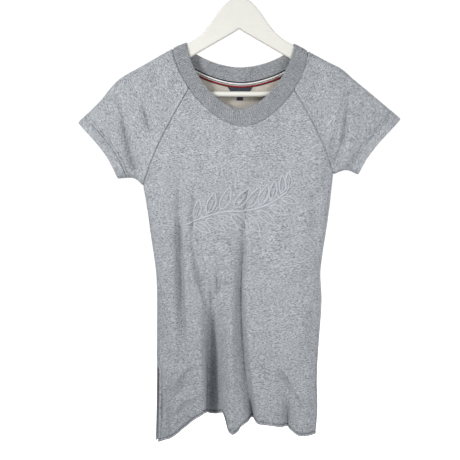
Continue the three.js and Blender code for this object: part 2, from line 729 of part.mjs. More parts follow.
// ---------------------------------------------------------------- hanger
/** Hanger with a bell arch, two sloping arms and a foot at each end that holds the bar. */
function hangerGeometry() {
  const { crown, thick, bevel, armStart, armEnd, tip, foot, socket, crotch } = HANGER;
  const { archPull, waistPull, endPull, corner, notch, taper } = HANGER;
  const slope = ((armEnd.z - armStart.z) / (armEnd.x - armStart.x)) * taper;
  const under = (x) => crotch + slope * x;
  const roundEnd = { x: armEnd.x + endPull.x, z: armEnd.z - endPull.z };
  const shape = new THREE.Shape();
  shape.moveTo(0, crown);
  shape.bezierCurveTo(-archPull, crown, -waistPull.x, waistPull.z, -armStart.x, armStart.z);
  shape.lineTo(-armEnd.x, armEnd.z);
  shape.quadraticCurveTo(-roundEnd.x, roundEnd.z, -tip.x, tip.z);
  shape.lineTo(-tip.x, foot + corner);
  shape.quadraticCurveTo(-tip.x, foot, -tip.x + corner, foot);
  shape.lineTo(-socket, foot);
  shape.lineTo(-socket, under(socket));
  shape.lineTo(-notch, under(notch));
  shape.quadraticCurveTo(0, crotch, notch, under(notch));
  shape.lineTo(socket, under(socket));
  shape.lineTo(socket, foot);
  shape.lineTo(tip.x - corner, foot);
  shape.quadraticCurveTo(tip.x, foot, tip.x, foot + corner);
  shape.lineTo(tip.x, tip.z);
  shape.quadraticCurveTo(roundEnd.x, roundEnd.z, armEnd.x, armEnd.z);
  shape.lineTo(armStart.x, armStart.z);
  shape.bezierCurveTo(waistPull.x, waistPull.z, archPull, crown, 0, crown);
  const geometry = new THREE.ExtrudeGeometry(shape, {
    depth: thick - 2 * bevel,
    bevelEnabled: true,
    bevelThickness: bevel,
    bevelSize: bevel,
    bevelOffset: -bevel,
    bevelSegments: 1,
    curveSegments: 8,
  });
  geometry.translate(0, 0, bevel - thick / 2);
  geometry.rotateX(Math.PI / 2);
  return geometry;
}

/** Round bar between the hanger's feet. */
function barGeometry() {
  const length = 2 * (HANGER.socket - SEAM_GAP);
  const geometry = new THREE.CylinderGeometry(BAR.radius, BAR.radius, length, 20);
  geometry.rotateZ(Math.PI / 2);
  geometry.translate(0, 0, BAR.z);
  return geometry;
}

/** Wire hook: a bow over the rail that returns to a straight stem on the arch. */
function hookGeometry() {
  const { wire, bow, stem, ease, tipAngle, heelAngle, sides, turns, steps } = HOOK;
  const centre = wire - bow;
  const onBow = (degrees) => {
    const angle = THREE.MathUtils.degToRad(degrees);
    return new THREE.Vector3(bow * Math.cos(angle), 0, centre + bow * Math.sin(angle));
  };
  const bowPoints = Array.from({ length: turns + 1 }, (_, i) => onBow(mix(tipAngle, heelAngle, i / turns)));
  const foot = HANGER.crown + SEAM_GAP;
  const path = new THREE.CatmullRomCurve3([
    ...bowPoints,
    new THREE.Vector3(ease, 0, -stem + ease),
    new THREE.Vector3(0, 0, -stem - ease),
    new THREE.Vector3(0, 0, (foot - stem) / 2),
    new THREE.Vector3(0, 0, foot),
  ], false, 'centripetal');
  const section = new THREE.Shape();
  for (let i = 0; i < sides; i += 1) {
    const angle = (2 * Math.PI * i) / sides;
    section[i === 0 ? 'moveTo' : 'lineTo'](wire * Math.cos(angle), wire * Math.sin(angle));
  }
  return new THREE.ExtrudeGeometry(section, { steps, extrudePath: path, bevelEnabled: false });
}

// ---------------------------------------------------------------- materials and assembly
const material = (color, roughness, metalness = 0) =>
  new THREE.MeshStandardMaterial({ color, roughness, metalness });

const FINISH = {
  fleece: () => material('#adb1b6', 0.95),
  rib: () => material('#95989c', 0.95),
  navy: () => material('#1d2233', 0.85),
  tape: () => material('#26304a', 0.85),
  hanger: () => material('#ecebe4', 0.45),
  steel: () => material('#c9ccd0', 0.25, 1),
};

const PIECES = [
  { name: 'front_panel', geometry: () => panelGeometry(FRONT), finish: FINISH.fleece },
  { name: 'back_panel', geometry: () => panelGeometry(BACK), finish: FINISH.fleece },
  { name: 'sleeve_left', geometry: () => sleeveGeometry('left'), finish: FINISH.fleece },
  { name: 'sleeve_right', geometry: () => sleeveGeometry('right'), finish: FINISH.fleece },
  { name: 'neck_band', geometry: ribGeometry, finish: FINISH.rib },
  { name: 'neck_tape', geometry: tapeGeometry, finish: FINISH.tape },
  { name: 'neck_label', geometry: neckLabelGeometry, finish: FINISH.navy },
  { name: 'size_label', geometry: sizeLabelGeometry, finish: FINISH.navy },
  { name: 'hanger_body', geometry: hangerGeometry, finish: FINISH.hanger },
  { name: 'hanger_bar', geometry: barGeometry, finish: FINISH.hanger },
  { name: 'hanger_hook', geometry: hookGeometry, finish: FINISH.steel },
];

const dress = new THREE.Group();
for (const { name, geometry, finish } of PIECES) {
  const mesh = new THREE.Mesh(geometry(), finish());
  mesh.name = name;
  dress.add(mesh);
}

export default dress;
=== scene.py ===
"""Raglan sweatshirt dress on a hanger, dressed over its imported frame.

The dress hangs in two layers that close along its outline. A layer is described over the plane of
the front view, in millimetres: each point (x, z) inside the outline has a half depth, which rounds
over a bend at the outline and then follows the drape, its folds and its creases. Meshes are in
metres.
"""

import logging
import math
from dataclasses import dataclass
from enum import Enum
from typing import Callable, NamedTuple, Sequence, Union

import bmesh
import bpy
import numpy as np
from mathutils import Matrix, Vector


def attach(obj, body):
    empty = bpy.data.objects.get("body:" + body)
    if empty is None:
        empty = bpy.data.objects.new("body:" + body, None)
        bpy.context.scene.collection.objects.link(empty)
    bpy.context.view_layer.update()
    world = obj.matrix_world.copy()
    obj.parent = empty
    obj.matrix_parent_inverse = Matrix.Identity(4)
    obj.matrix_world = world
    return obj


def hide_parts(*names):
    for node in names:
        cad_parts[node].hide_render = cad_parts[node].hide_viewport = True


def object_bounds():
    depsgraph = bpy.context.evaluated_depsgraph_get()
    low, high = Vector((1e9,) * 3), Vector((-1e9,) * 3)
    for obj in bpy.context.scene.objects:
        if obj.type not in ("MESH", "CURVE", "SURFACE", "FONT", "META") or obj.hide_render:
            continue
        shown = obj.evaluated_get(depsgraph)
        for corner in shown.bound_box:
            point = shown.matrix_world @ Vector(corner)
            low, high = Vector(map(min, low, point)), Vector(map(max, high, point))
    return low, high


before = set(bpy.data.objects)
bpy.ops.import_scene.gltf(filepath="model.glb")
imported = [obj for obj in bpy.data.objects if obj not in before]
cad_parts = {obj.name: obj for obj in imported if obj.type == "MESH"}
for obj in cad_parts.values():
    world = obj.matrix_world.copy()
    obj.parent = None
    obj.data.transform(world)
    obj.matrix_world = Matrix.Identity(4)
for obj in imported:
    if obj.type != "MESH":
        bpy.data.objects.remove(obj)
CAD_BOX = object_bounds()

LOG = logging.getLogger("dress")
MM = 0.001
WALL = 2.0
SEAM = 0.1
BODY = "root"
TURNED = 2
TINY = 1e-12
MERGE = 1e-7
SAME = 1e-6
FLAT = 0.9999

Number = np.ndarray | float
Curve = Callable[[np.ndarray], tuple[np.ndarray, np.ndarray]]


class Layer(Enum):
    """Which of the two hanging layers a point lies in, as the sign of its depth."""

    FRONT = -1
    BACK = 1


class Side(Enum):
    """Side of the dress as seen from the front, as the sign of x."""

    LEFT = -1
    RIGHT = 1


class Edge(Enum):
    """Edge of a cut piece's grid of points."""

    FOOT = "foot"
    TOP = "top"
    LEFT = "left"
    RIGHT = "right"


# --- outline of the dress
UPPER = {
    Side.LEFT: (
        (-104.8, -156.6), (-132, -168), (-186, -197.4), (-236, -225.2), (-254, -242),
        (-276, -268), (-320.7, -309.4),
    ),
    Side.RIGHT: (
        (108.6, -158.9), (133, -171.2), (176, -193.2), (201, -205.4), (225, -225), (261, -253.4),
        (321.4, -302.1),
    ),
}
UNDER = {
    Side.LEFT: ((-244.4, -421.4), (-212, -421.5), (-194.1, -435.8)),
    Side.RIGHT: ((239.9, -413.1), (217, -405), (190, -413)),
}
FLANK = {
    Side.LEFT: (
        (-194.1, -435.8), (-188.8, -470), (-180.6, -539), (-172, -610), (-170.3, -666),
        (-172.7, -783), (-175.3, -894), (-179.3, -990),
    ),
    Side.RIGHT: (
        (190, -413), (186.4, -455), (181.6, -505), (172.4, -577), (169, -615), (172.6, -675),
        (168.6, -770), (167, -840), (169.4, -905), (165.5, -975),
    ),
}
CUFF_HOLLOW = {Side.LEFT: 6.0, Side.RIGHT: 4.0}
CUFF_LIFT = {Side.LEFT: 3.5, Side.RIGHT: 4.5}


def rows_of(kind: type, rows: Sequence[tuple]) -> tuple:
    """Table whose rows have names for their columns."""
    return tuple(kind(*row) for row in rows)


class Depth(NamedTuple):
    """Half depths of the body's two layers at a height."""

    z: float
    front: float
    back: float


DEPTHS = rows_of(Depth, (
    (-150, 11, 11), (-205, 14, 14), (-260, 17, 16), (-330, 23, 19), (-430, 28, 24),
    (-600, 31, 30), (-780, 38, 38), (-990, 46, 48),
))


class Hem(NamedTuple):
    """Height of the hem across the front and the back."""

    x: float
    front: float
    back: float


HEMS = rows_of(Hem, (
    (-184, -979, -989), (-160, -972, -981), (-148, -967, -976), (-137, -960, -971),
    (-124, -950, -965), (-114, -938, -959), (-106, -923, -951), (-97, -911, -945),
    (-88, -907, -943), (-72, -930, -939), (-63, -933, -938), (-55, -929, -938), (-47, -922, -939),
    (-40, -914, -940), (-33.8, -909, -941), (-27.7, -922, -943), (-23.5, -940, -945),
    (-13, -949, -950), (-1, -943, -952), (5, -933, -953), (27, -925, -955), (34, -927, -955),
    (70, -932, -953), (98, -938, -953), (120, -951, -961), (142, -957, -968), (168, -960, -972),
))


class Fold(NamedTuple):
    """Trough that runs down the cloth.

    It has a half width on each side, a share of its length at which it is deepest, and the share of
    its depth that is kept at its end.
    """

    x: float
    z: float
    to_x: float
    to_z: float
    bow: float
    depth: float
    left: float
    right: float
    peak: float
    keep: float


FOLDS = {
    Layer.FRONT: rows_of(Fold, (
        (-50, -585, -68, -990, -3, 60, 28, 46, 0.78, 1),
        (20, -425, 36, -960, -22, 15, 28, 11, 0.6, 1),
        (-117, -430, -114, -800, -3, 13, 20, 10, 0.6, 0),
        (-84, -440, -64, -700, -6, 6.5, 18, 9, 0.55, 0.3),
        (70, -690, 106, -950, 3, 9, 24, 22, 0.9, 1),
        (-152, -815, -157, -985, 0, 10, 15, 18, 0.6, 0.5),
        (-112, -730, -122, -985, 0, 14, 50, 24, 0.8, 1),
        (-229, -272, -192, -436, -5, 7.5, 21, 25, 0.75, 0.4),
        (-188, -262, -160, -352, -3, 4, 19, 21, 0.5, 0),
        (219, -250, 188, -412, -3, 7.5, 24, 22, 0.75, 0.4),
    )),
    Layer.BACK: rows_of(Fold, (
        (64, -560, 74, -990, 4, 34, 40, 36, 1, 1),
        (-84, -600, -98, -990, -3, 26, 34, 38, 1, 1),
        (8, -330, -14, -800, 6, 9, 20, 24, 0.6, 0.1),
        (122, -430, 118, -760, 4, 8, 17, 18, 0.6, 0),
        (226, -264, 190, -420, 4, 7, 24, 22, 0.7, 0.4),
        (-232, -280, -194, -436, -4, 7, 22, 24, 0.75, 0.4),
    )),
}
FOLD_OVERRUN = 1.25


class Crease(NamedTuple):
    """Fine crease of any direction: a trough, or a ridge where its depth is negative."""

    x: float
    z: float
    to_x: float
    to_z: float
    bow: float
    depth: float
    left: float
    right: float


CREASES = {
    Layer.FRONT: rows_of(Crease, (
        (-116, -415, -118, -570, -2, 5.6, 9, 2.6),
        (-120, -500, -113, -800, 3, 10, 14, 3.2),
        (-85, -415, -92, -575, -3, 5.4, 8, 2.4),
        (-93, -540, -60, -705, -4, 6.8, 8, 2.4),
        (22, -420, 10, -590, -3, 6, 9, 2.2),
        (12, -545, 4, -700, -2, 8.5, 9, 2),
        (5, -640, 16, -850, -3, 9, 9, 2.2),
        (8, -790, 38, -945, -3, 7, 10, 2.8),
        (24, -880, 42, -1000, -2, 15, 8, 4),
        (-45, -600, -44, -668, 0, 5, 2.6, 2.4),
        (-38, -604, -37, -664, 0, 5, 2.6, 2.4),
        (-55, -640, -74, -1020, -3, 10, 3.5, 20),
        (84, -812, 130, -898, 3, 10, 8, 2.4),
        (104, -866, 102, -985, 0, 9, 9, 2.8),
        (-146, -862, -93, -790, 5, -9, 8, 6),
        (-152, -925, -84, -846, 3, -9, 9, 6),
        (-160, -960, -100, -892, 3, -6, 9, 6),
        (-142, -884, -98, -826, 0, 3.6, 6, 5),
        (-128, -768, -121, -802, 0, 4, 5, 6),
        (-160, -830, -161, -935, 0, 6, 4, 8),
        (112, -812, 150, -900, 4, -3.2, 12, 12),
        (60, -860, 96, -915, -4, -3, 12, 9),
        (-17, -690, -13, -985, 1, -6.5, 4.5, 8),
        (-26, -700, -20, -960, 2, -3, 5, 6),
        (-150, -520, -142, -640, 4, 1, 14, 16),
        (96, -480, 112, -640, 5, 0.9, 18, 16),
        (150, -440, 142, -560, 3, 1.4, 12, 14),
        (-170, -448, -128, -505, -5, 1.6, 9, 9),
        (165, -428, 128, -486, 5, 1.5, 9, 9),
        (-228, -275, -196, -428, -7, 8, 9, 3.6),
        (-214, -318, -190, -430, -4, -3, 7, 8),
        (-186, -268, -163, -344, -4, 7, 8, 3.6),
        (-262, -330, -232, -404, -3, 1.2, 9, 10),
        (216, -258, 189, -404, 7, 8, 9, 3.6),
        (204, -300, 186, -398, 4, -3, 8, 7),
        (250, -290, 226, -380, 3, 1.2, 10, 9),
        (-96, -330, -60, -372, -3, 1, 10, 10),
        (92, -326, 62, -372, 3, 0.9, 10, 10),
    )),
    Layer.BACK: rows_of(Crease, (
        (66, -600, 78, -960, 3, 5.4, 7, 9),
        (-86, -640, -100, -960, -3, 5.4, 8, 7),
        (10, -340, -8, -700, 6, 4.3, 7, 9),
        (122, -440, 116, -720, 4, 4, 6, 8),
        (-128, -450, -118, -690, -5, 4.3, 8, 6),
        (-20, -800, -6, -960, 3, -4.7, 10, 12),
        (146, -850, 104, -912, -4, -4, 10, 11),
        (-150, -880, -112, -930, 4, -3.6, 11, 10),
        (40, -240, 96, -330, 6, 2.5, 9, 10),
        (-44, -244, -92, -336, -6, 2.5, 10, 9),
        (226, -268, 192, -416, 5, 5, 8, 6),
        (-232, -284, -196, -430, -5, 5, 6, 8),
        (186, -270, 164, -340, 4, 3.2, 8, 6),
        (-192, -276, -166, -348, -4, 3.2, 6, 8),
        (168, -436, 130, -500, 5, 2.9, 9, 9),
        (-172, -452, -132, -516, -5, 2.9, 9, 9),
    )),
}


class Lean(NamedTuple):
    """Lip of a deep fold that leans sideways over its trough."""

    x: float
    z: float
    to_x: float
    to_z: float
    reach: float
    shift: float


LEANS = {
    Layer.FRONT: (Lean(-76, -590, -96, -985, 28, 21),),
    Layer.BACK: (Lean(40, -620, 48, -990, 30, 7),),
}


@dataclass(frozen=True)
class Cut:
    """Driving sizes of the cut and the drape, in millimetres and as shares."""

    bend: float = 10.0
    settle: float = 72.0
    front_settle: float = 58.0
    sleeve_depth: float = 19.0
    sleeve_from: float = 150.0
    sleeve_to: float = 255.0
    sleeve_floor: float = -440.0
    fold_fade: float = 24.0
    vent_top: float = -775.0
    vent_full: float = -820.0
    vent_swing: float = 8.0
    vent_flat: float = 0.3
    vent_reach: float = 28.0
    neck_across: float = 1.15
    neck_down: float = 1.32
    inner_half: float = 106.7
    outer_half: float = 132.5
    outer_shift: float = 5.0
    raglan_bulge: float = 6.3
    neck_ease: float = 1.15
    neck_share: float = 0.27


CUT = Cut()
NECK_DROPS = {
    "inner": {Layer.FRONT: 127.5, Layer.BACK: 45.0},
    "outer": {Layer.FRONT: 148.0, Layer.BACK: 66.0},
}
RAGLAN_TOPS = {Layer.FRONT: 0.205, Layer.BACK: 0.245}


# --- small helpers
def mix(a: Number, b: Number, s: Number) -> Number:
    """Value a share s of the way from a to b."""
    return a + (b - a) * s


def clamp01(s: Number) -> Number:
    """Value kept between 0 and 1."""
    return np.clip(s, 0.0, 1.0)


def smooth(s: Number) -> Number:
    """Ease from 0 to 1 with level ends."""
    s = clamp01(s)
    return s * s * (3 - 2 * s)


def eased(s: Number, a: Number, b: Number, leave: Number, arrive: Number) -> Number:
    """Value a share s of the way from a to b, with its slopes at both ends."""
    return mix(a, b, smooth(s)) + s * (1 - s) ** 2 * leave + s * s * (s - 1) * arrive


def bell(distance: Number, width: float) -> Number:
    """Bell curve of 1 at distance 0."""
    return np.exp(-((distance / width) ** 2))


def unit(vectors: np.ndarray) -> np.ndarray:
    """Vectors along the last axis, at length 1."""
    return vectors / np.maximum(np.linalg.norm(vectors, axis=-1, keepdims=True), TINY)


def running(steps: np.ndarray) -> np.ndarray:
    """Running sum of steps along the first axis, from 0."""
    return np.concatenate([np.zeros_like(steps[:1]), np.cumsum(steps, axis=0)])


def through(xs: Sequence[float], ys: Sequence[float]) -> Callable:
    """Smooth function through a table.

    Args:
        xs: Inputs, in any order.
        ys: Output for each input.

    Returns:
        Function of an array of inputs, level beyond the table's ends.
    """
    order = np.argsort(xs)
    x = np.array(xs, float)[order]
    y = np.array(ys, float)[order]
    low = np.maximum(np.arange(len(x)) - 1, 0)
    high = np.minimum(np.arange(len(x)) + 1, len(x) - 1)
    slopes = (y[high] - y[low]) / (x[high] - x[low])

    def value(at: Number) -> Number:
        """The table's smooth value."""
        inside = np.clip(at, x[0], x[-1])
        i = np.clip(np.searchsorted(x, inside) - 1, 0, len(x) - 2)
        span = x[i + 1] - x[i]
        s = (inside - x[i]) / span
        return eased(s, y[i], y[i + 1], span * slopes[i], span * slopes[i + 1])

    return value


def curve_through(points: Sequence[tuple[float, float]], samples: int = 120) -> Curve:
    """Smooth curve through points of the front view.

    Args:
        points: Points (x, z) in order.
        samples: Steps between each two points.

    Returns:
        Function from a share of the curve's length to x and z.
    """
    p = np.array(points, float)
    p = np.vstack([2 * p[0] - p[1], p, 2 * p[-1] - p[-2]])
    s = np.linspace(0, 1, samples, endpoint=False)[:, None]
    spans = []
    for a, b, c, d in zip(p[:-3], p[1:-2], p[2:-1], p[3:]):
        before, within, after = (np.linalg.norm(v) ** 0.5 for v in (b - a, c - b, d - c))
        leave = (b - a) / before - (c - a) / (before + within) + (c - b) / within
        arrive = (c - b) / within - (d - b) / (within + after) + (d - c) / after
        spans.append(eased(s, b, c, leave * within, arrive * within))
    line = np.vstack([*spans, p[-2:-1]])
    sums = running(np.linalg.norm(np.diff(line, axis=0), axis=1))

    def at(share: Number) -> tuple[np.ndarray, np.ndarray]:
        """Point at a share of the length."""
        where = clamp01(share) * sums[-1]
        return np.interp(where, sums, line[:, 0]), np.interp(where, sums, line[:, 1])

    return at


def shifted(curve: Curve, distance: float) -> Curve:
    """Curve moved sideways.

    Args:
        curve: The curve.
        distance: How far, to the left of its direction of travel as seen from the front.

    Returns:
        The moved curve.
    """
    step = 1e-3

    def at(share: Number) -> tuple[np.ndarray, np.ndarray]:
        """Point beside a share of the length."""
        x, z = curve(share)
        x0, z0 = curve(clamp01(share - step))
        x1, z1 = curve(clamp01(share + step))
        length = np.hypot(x1 - x0, z1 - z0)
        return x - (z1 - z0) / length * distance, z + (x1 - x0) / length * distance

    return at


def along_line(
    line: "Crease | Lean", x: np.ndarray, z: np.ndarray
) -> tuple[np.ndarray, np.ndarray]:
    """Where points lie against the straight line of a crease or a lean.

    Args:
        line: The crease or the lean.
        x: Positions across the dress.
        z: Heights.

    Returns:
        Share along the line, and distance to the right of it when it is followed down.
    """
    run_x, run_z = line.to_x - line.x, line.to_z - line.z
    length = math.hypot(run_x, run_z)
    share = ((x - line.x) * run_x + (z - line.z) * run_z) / length**2
    return share, ((z - line.z) * run_x - (x - line.x) * run_z) / length


class Polyline:
    """Fixed line of the front view, with the distance of any points from it."""

    BLOCK = 4096

    def __init__(self, points: np.ndarray) -> None:
        """Keeps the line's segments; points is an array of (x, z)."""
        self.start = points[:-1]
        self.run = points[1:] - points[:-1]
        self.square = np.maximum((self.run**2).sum(1), TINY)

    @classmethod
    def sampled(cls, curves: Sequence[Curve], samples: int) -> "Polyline":
        """Line that follows curves end to end."""
        shares = np.linspace(0, 1, samples + 1)
        first, *others = (np.stack(curve(shares), -1) for curve in curves)
        return cls(np.vstack([first, *(points[1:] for points in others)]))

    def distance(self, x: np.ndarray, z: np.ndarray) -> np.ndarray:
        """Distance of points from the line.

        Args:
            x: Positions across the dress.
            z: Heights.

        Returns:
            Distance of each point.
        """
        places = np.stack([np.ravel(x), np.ravel(z)], -1)
        found = np.empty(len(places))
        for first in range(0, len(places), self.BLOCK):
            relative = places[first : first + self.BLOCK, None, :] - self.start
            share = clamp01((relative * self.run).sum(-1) / self.square)
            away = relative - share[..., None] * self.run
            found[first : first + self.BLOCK] = np.sqrt((away**2).sum(-1).min(1))
        return found.reshape(np.shape(x))


# --- drape
class Drape:
    """Shape of the hanging cloth over the front view, in millimetres."""

    WAVES = 16
    WAVE_HEIGHT = 0.22
    WAVES_ACROSS = (34, 95)
    WAVES_DOWN = (120, 360)
    UPPER_SAMPLES = 60
    SIDE_SAMPLES = 90
    TAPER = 0.7
    FALL = 1.6
    PROBE = 0.4

    def __init__(self) -> None:
        """Works out the outline, the neck lines and the raglan seams."""
        self.upper = {side: curve_through(UPPER[side]) for side in Side}
        self.under = {side: curve_through(UNDER[side]) for side in Side}
        self.flank_x = {
            side: through([z for _, z in FLANK[side]], [x for x, _ in FLANK[side]]) for side in Side
        }
        self.armpit = {side: FLANK[side][0] for side in Side}
        self.outline = []
        for side in Side:
            low = [self.under[side], curve_through(FLANK[side])]
            self.outline.append(Polyline.sampled([self.upper[side]], self.UPPER_SAMPLES))
            self.outline.append(Polyline.sampled(low, self.SIDE_SAMPLES))
        heights, across = [row.z for row in DEPTHS], [row.x for row in HEMS]
        self.depth, self.hem = {}, {}
        for layer in Layer:
            column = layer.name.lower()
            self.depth[layer] = through(heights, [getattr(row, column) for row in DEPTHS])
            self.hem[layer] = through(across, [getattr(row, column) for row in HEMS])
        starts = [self.upper[side](0.0)[0] for side in Side]
        self.neck_centre = float(sum(starts)) / 2
        rng = np.random.default_rng(7)
        self.waves = [
            (
                2 * math.pi / rng.uniform(*self.WAVES_ACROSS),
                2 * math.pi / rng.uniform(*self.WAVES_DOWN) * rng.choice([-1, 1]),
                rng.uniform(0, 2 * math.pi),
            )
            for _ in range(self.WAVES)
        ]

    def shoulder_share(self, side: Side, x: float) -> float:
        """Share of a side's upper line that lies over a position across the dress."""
        shares = np.linspace(0, 1, 4001)
        return float(np.interp(abs(x), np.abs(self.upper[side](shares)[0]), shares))

    def neck(self, line: str, layer: Layer) -> Curve:
        """Neck line of a layer.

        Args:
            line: "inner" for its opening or "outer" for the seam of its band.
            layer: The layer.

        Returns:
            The line, from the left shoulder to the right one.
        """
        inner = line == "inner"
        half = CUT.inner_half if inner else CUT.outer_half
        shift = 0.0 if inner or layer is Layer.BACK else CUT.outer_shift
        drop = NECK_DROPS[line][layer]
        ends = []
        for side in Side:
            share = self.shoulder_share(side, self.neck_centre + side.value * half)
            ends.append(float(self.upper[side](share)[1]))

        def at(share: Number) -> tuple[np.ndarray, np.ndarray]:
            """Point at a share of the way across."""
            reach = np.cos(np.pi * share)
            sag = np.abs(np.sin(np.pi * share)) ** CUT.neck_down
            x = self.neck_centre - half * np.sign(reach) * np.abs(reach) ** CUT.neck_across
            return x + shift * sag, mix(ends[0], ends[1], share) - drop * sag

        return at

    def raglan_start(self, side: Side, layer: Layer) -> float:
        """Share along the neck at which a side's raglan seam starts."""
        share = RAGLAN_TOPS[layer]
        return share if side is Side.LEFT else 1 - share

    def raglan(self, side: Side, layer: Layer) -> Curve:
        """Raglan seam.

        Args:
            side: Side of the dress.
            layer: The layer.

        Returns:
            The seam, from the neck to the armpit.
        """
        top = self.neck("outer", layer)(self.raglan_start(side, layer))
        armpit = self.armpit[side]

        def at(share: Number) -> tuple[np.ndarray, np.ndarray]:
            """Point at a share of the way down."""
            bulge = side.value * CUT.raglan_bulge * np.sin(np.pi * share)
            return mix(top[0], armpit[0], share) + bulge, mix(top[1], armpit[1], share)

        return at

    def fold_depth(self, layer: Layer, x: np.ndarray, z: np.ndarray) -> np.ndarray:
        """Depth that a layer's folds take from it.

        Args:
            layer: The layer.
            x: Positions across the dress.
            z: Heights.

        Returns:
            Depth of the folds at each point.
        """
        total = np.zeros(np.shape(x))
        for fold in FOLDS[layer]:
            s = (fold.z - z) / (fold.z - fold.to_z)
            middle = mix(fold.x, fold.to_x, s) + fold.bow * np.sin(np.pi * clamp01(s))
            across = (x - middle) / np.where(x < middle, fold.left, fold.right)
            fade = 1.0
            if fold.peak < 1:
                fade = mix(1.0, fold.keep, smooth((s - fold.peak) / (1 - fold.peak)))
            shown = (s > 0) & (s <= FOLD_OVERRUN) & (np.abs(across) < 1)
            profile = 0.5 * (1 + np.cos(np.pi * np.clip(across, -1, 1)))
            total += np.where(shown, fold.depth * smooth(s / fold.peak) * fade * profile, 0.0)
        return total

    def crease_depth(self, layer: Layer, x: np.ndarray, z: np.ndarray) -> np.ndarray:
        """Depth that the fine creases and the slack of the cloth take from a layer.

        Args:
            layer: The layer.
            x: Positions across the dress.
            z: Heights.

        Returns:
            Depth of the creases at each point.
        """
        total = np.zeros(np.shape(x))
        for crease in CREASES[layer]:
            share, off = along_line(crease, x, z)
            off = off - crease.bow * np.sin(np.pi * clamp01(share))
            across = off / np.where(off < 0, crease.left, crease.right)
            taper = np.sin(np.pi * clamp01(share)) ** self.TAPER
            total += crease.depth * taper * np.exp(-self.FALL * across**2)
        for across_rate, down_rate, phase in self.waves:
            swing = np.sin(across_rate * x + down_rate * z + phase + layer.value)
            total += self.WAVE_HEIGHT * swing
        return total

    def half_depth(self, layer: Layer, x: np.ndarray, z: np.ndarray) -> np.ndarray:
        """Half depth of a layer at points of the front view.

        Args:
            layer: The layer.
            x: Positions across the dress.
            z: Heights.

        Returns:
            Distance of each point's outer face from the middle plane.
        """
        distances = [line.distance(x, z) for line in self.outline]
        bend = np.prod([np.sqrt(1 - (1 - clamp01(d / CUT.bend)) ** 2) for d in distances], axis=0)
        reach = CUT.front_settle if layer is Layer.FRONT else CUT.settle
        settle = np.prod([np.sin(np.pi / 2 * clamp01(d / reach)) for d in distances], axis=0)
        reach = (np.abs(x) - CUT.sleeve_from) / (CUT.sleeve_to - CUT.sleeve_from)
        on_sleeve = np.where(z > CUT.sleeve_floor, smooth(reach), 0.0)
        full = mix(self.depth[layer](z), CUT.sleeve_depth, on_sleeve)
        edge = np.min(distances, axis=0)
        opened = smooth((CUT.vent_top - z) / (CUT.vent_top - CUT.vent_full))
        swing = 0.0
        if layer is Layer.FRONT:
            swing = CUT.vent_swing * opened * (1 - smooth(edge / CUT.settle))
        else:
            bend = mix(bend, mix(CUT.vent_flat, 1.0, smooth(edge / CUT.vent_reach)), opened)
        sunk = self.fold_depth(layer, x, z) + self.crease_depth(layer, x, z)
        sunk = sunk * smooth(edge / CUT.fold_fade)
        return CUT.bend * bend + (full - CUT.bend) * settle + swing - sunk

    def place(self, layer: Layer, x: np.ndarray, z: np.ndarray) -> np.ndarray:
        """Points of a layer's outer face, with the lips of its deep folds leaning over."""
        y = layer.value * (self.half_depth(layer, x, z) + SEAM / 2)
        moved = np.array(x, float)
        for lean in LEANS[layer]:
            share, off = along_line(lean, x, z)
            near = np.cos(np.pi / 2 * np.clip(off / lean.reach, -1, 1)) ** 2
            moved += lean.shift * smooth(share) * near
        return np.stack([moved, y, z], -1)

    def frame_at(
        self, layer: Layer, x: np.ndarray, z: np.ndarray
    ) -> tuple[np.ndarray, np.ndarray]:
        """Points of a layer's outer face and their outward normals."""
        step = self.PROBE
        slope_x = self.half_depth(layer, x + step, z) - self.half_depth(layer, x - step, z)
        slope_z = self.half_depth(layer, x, z + step) - self.half_depth(layer, x, z - step)
        sign = np.full(np.shape(x), float(layer.value))
        normals = unit(np.stack([-slope_x / (2 * step), sign, -slope_z / (2 * step)], -1))
        return self.place(layer, x, z), normals


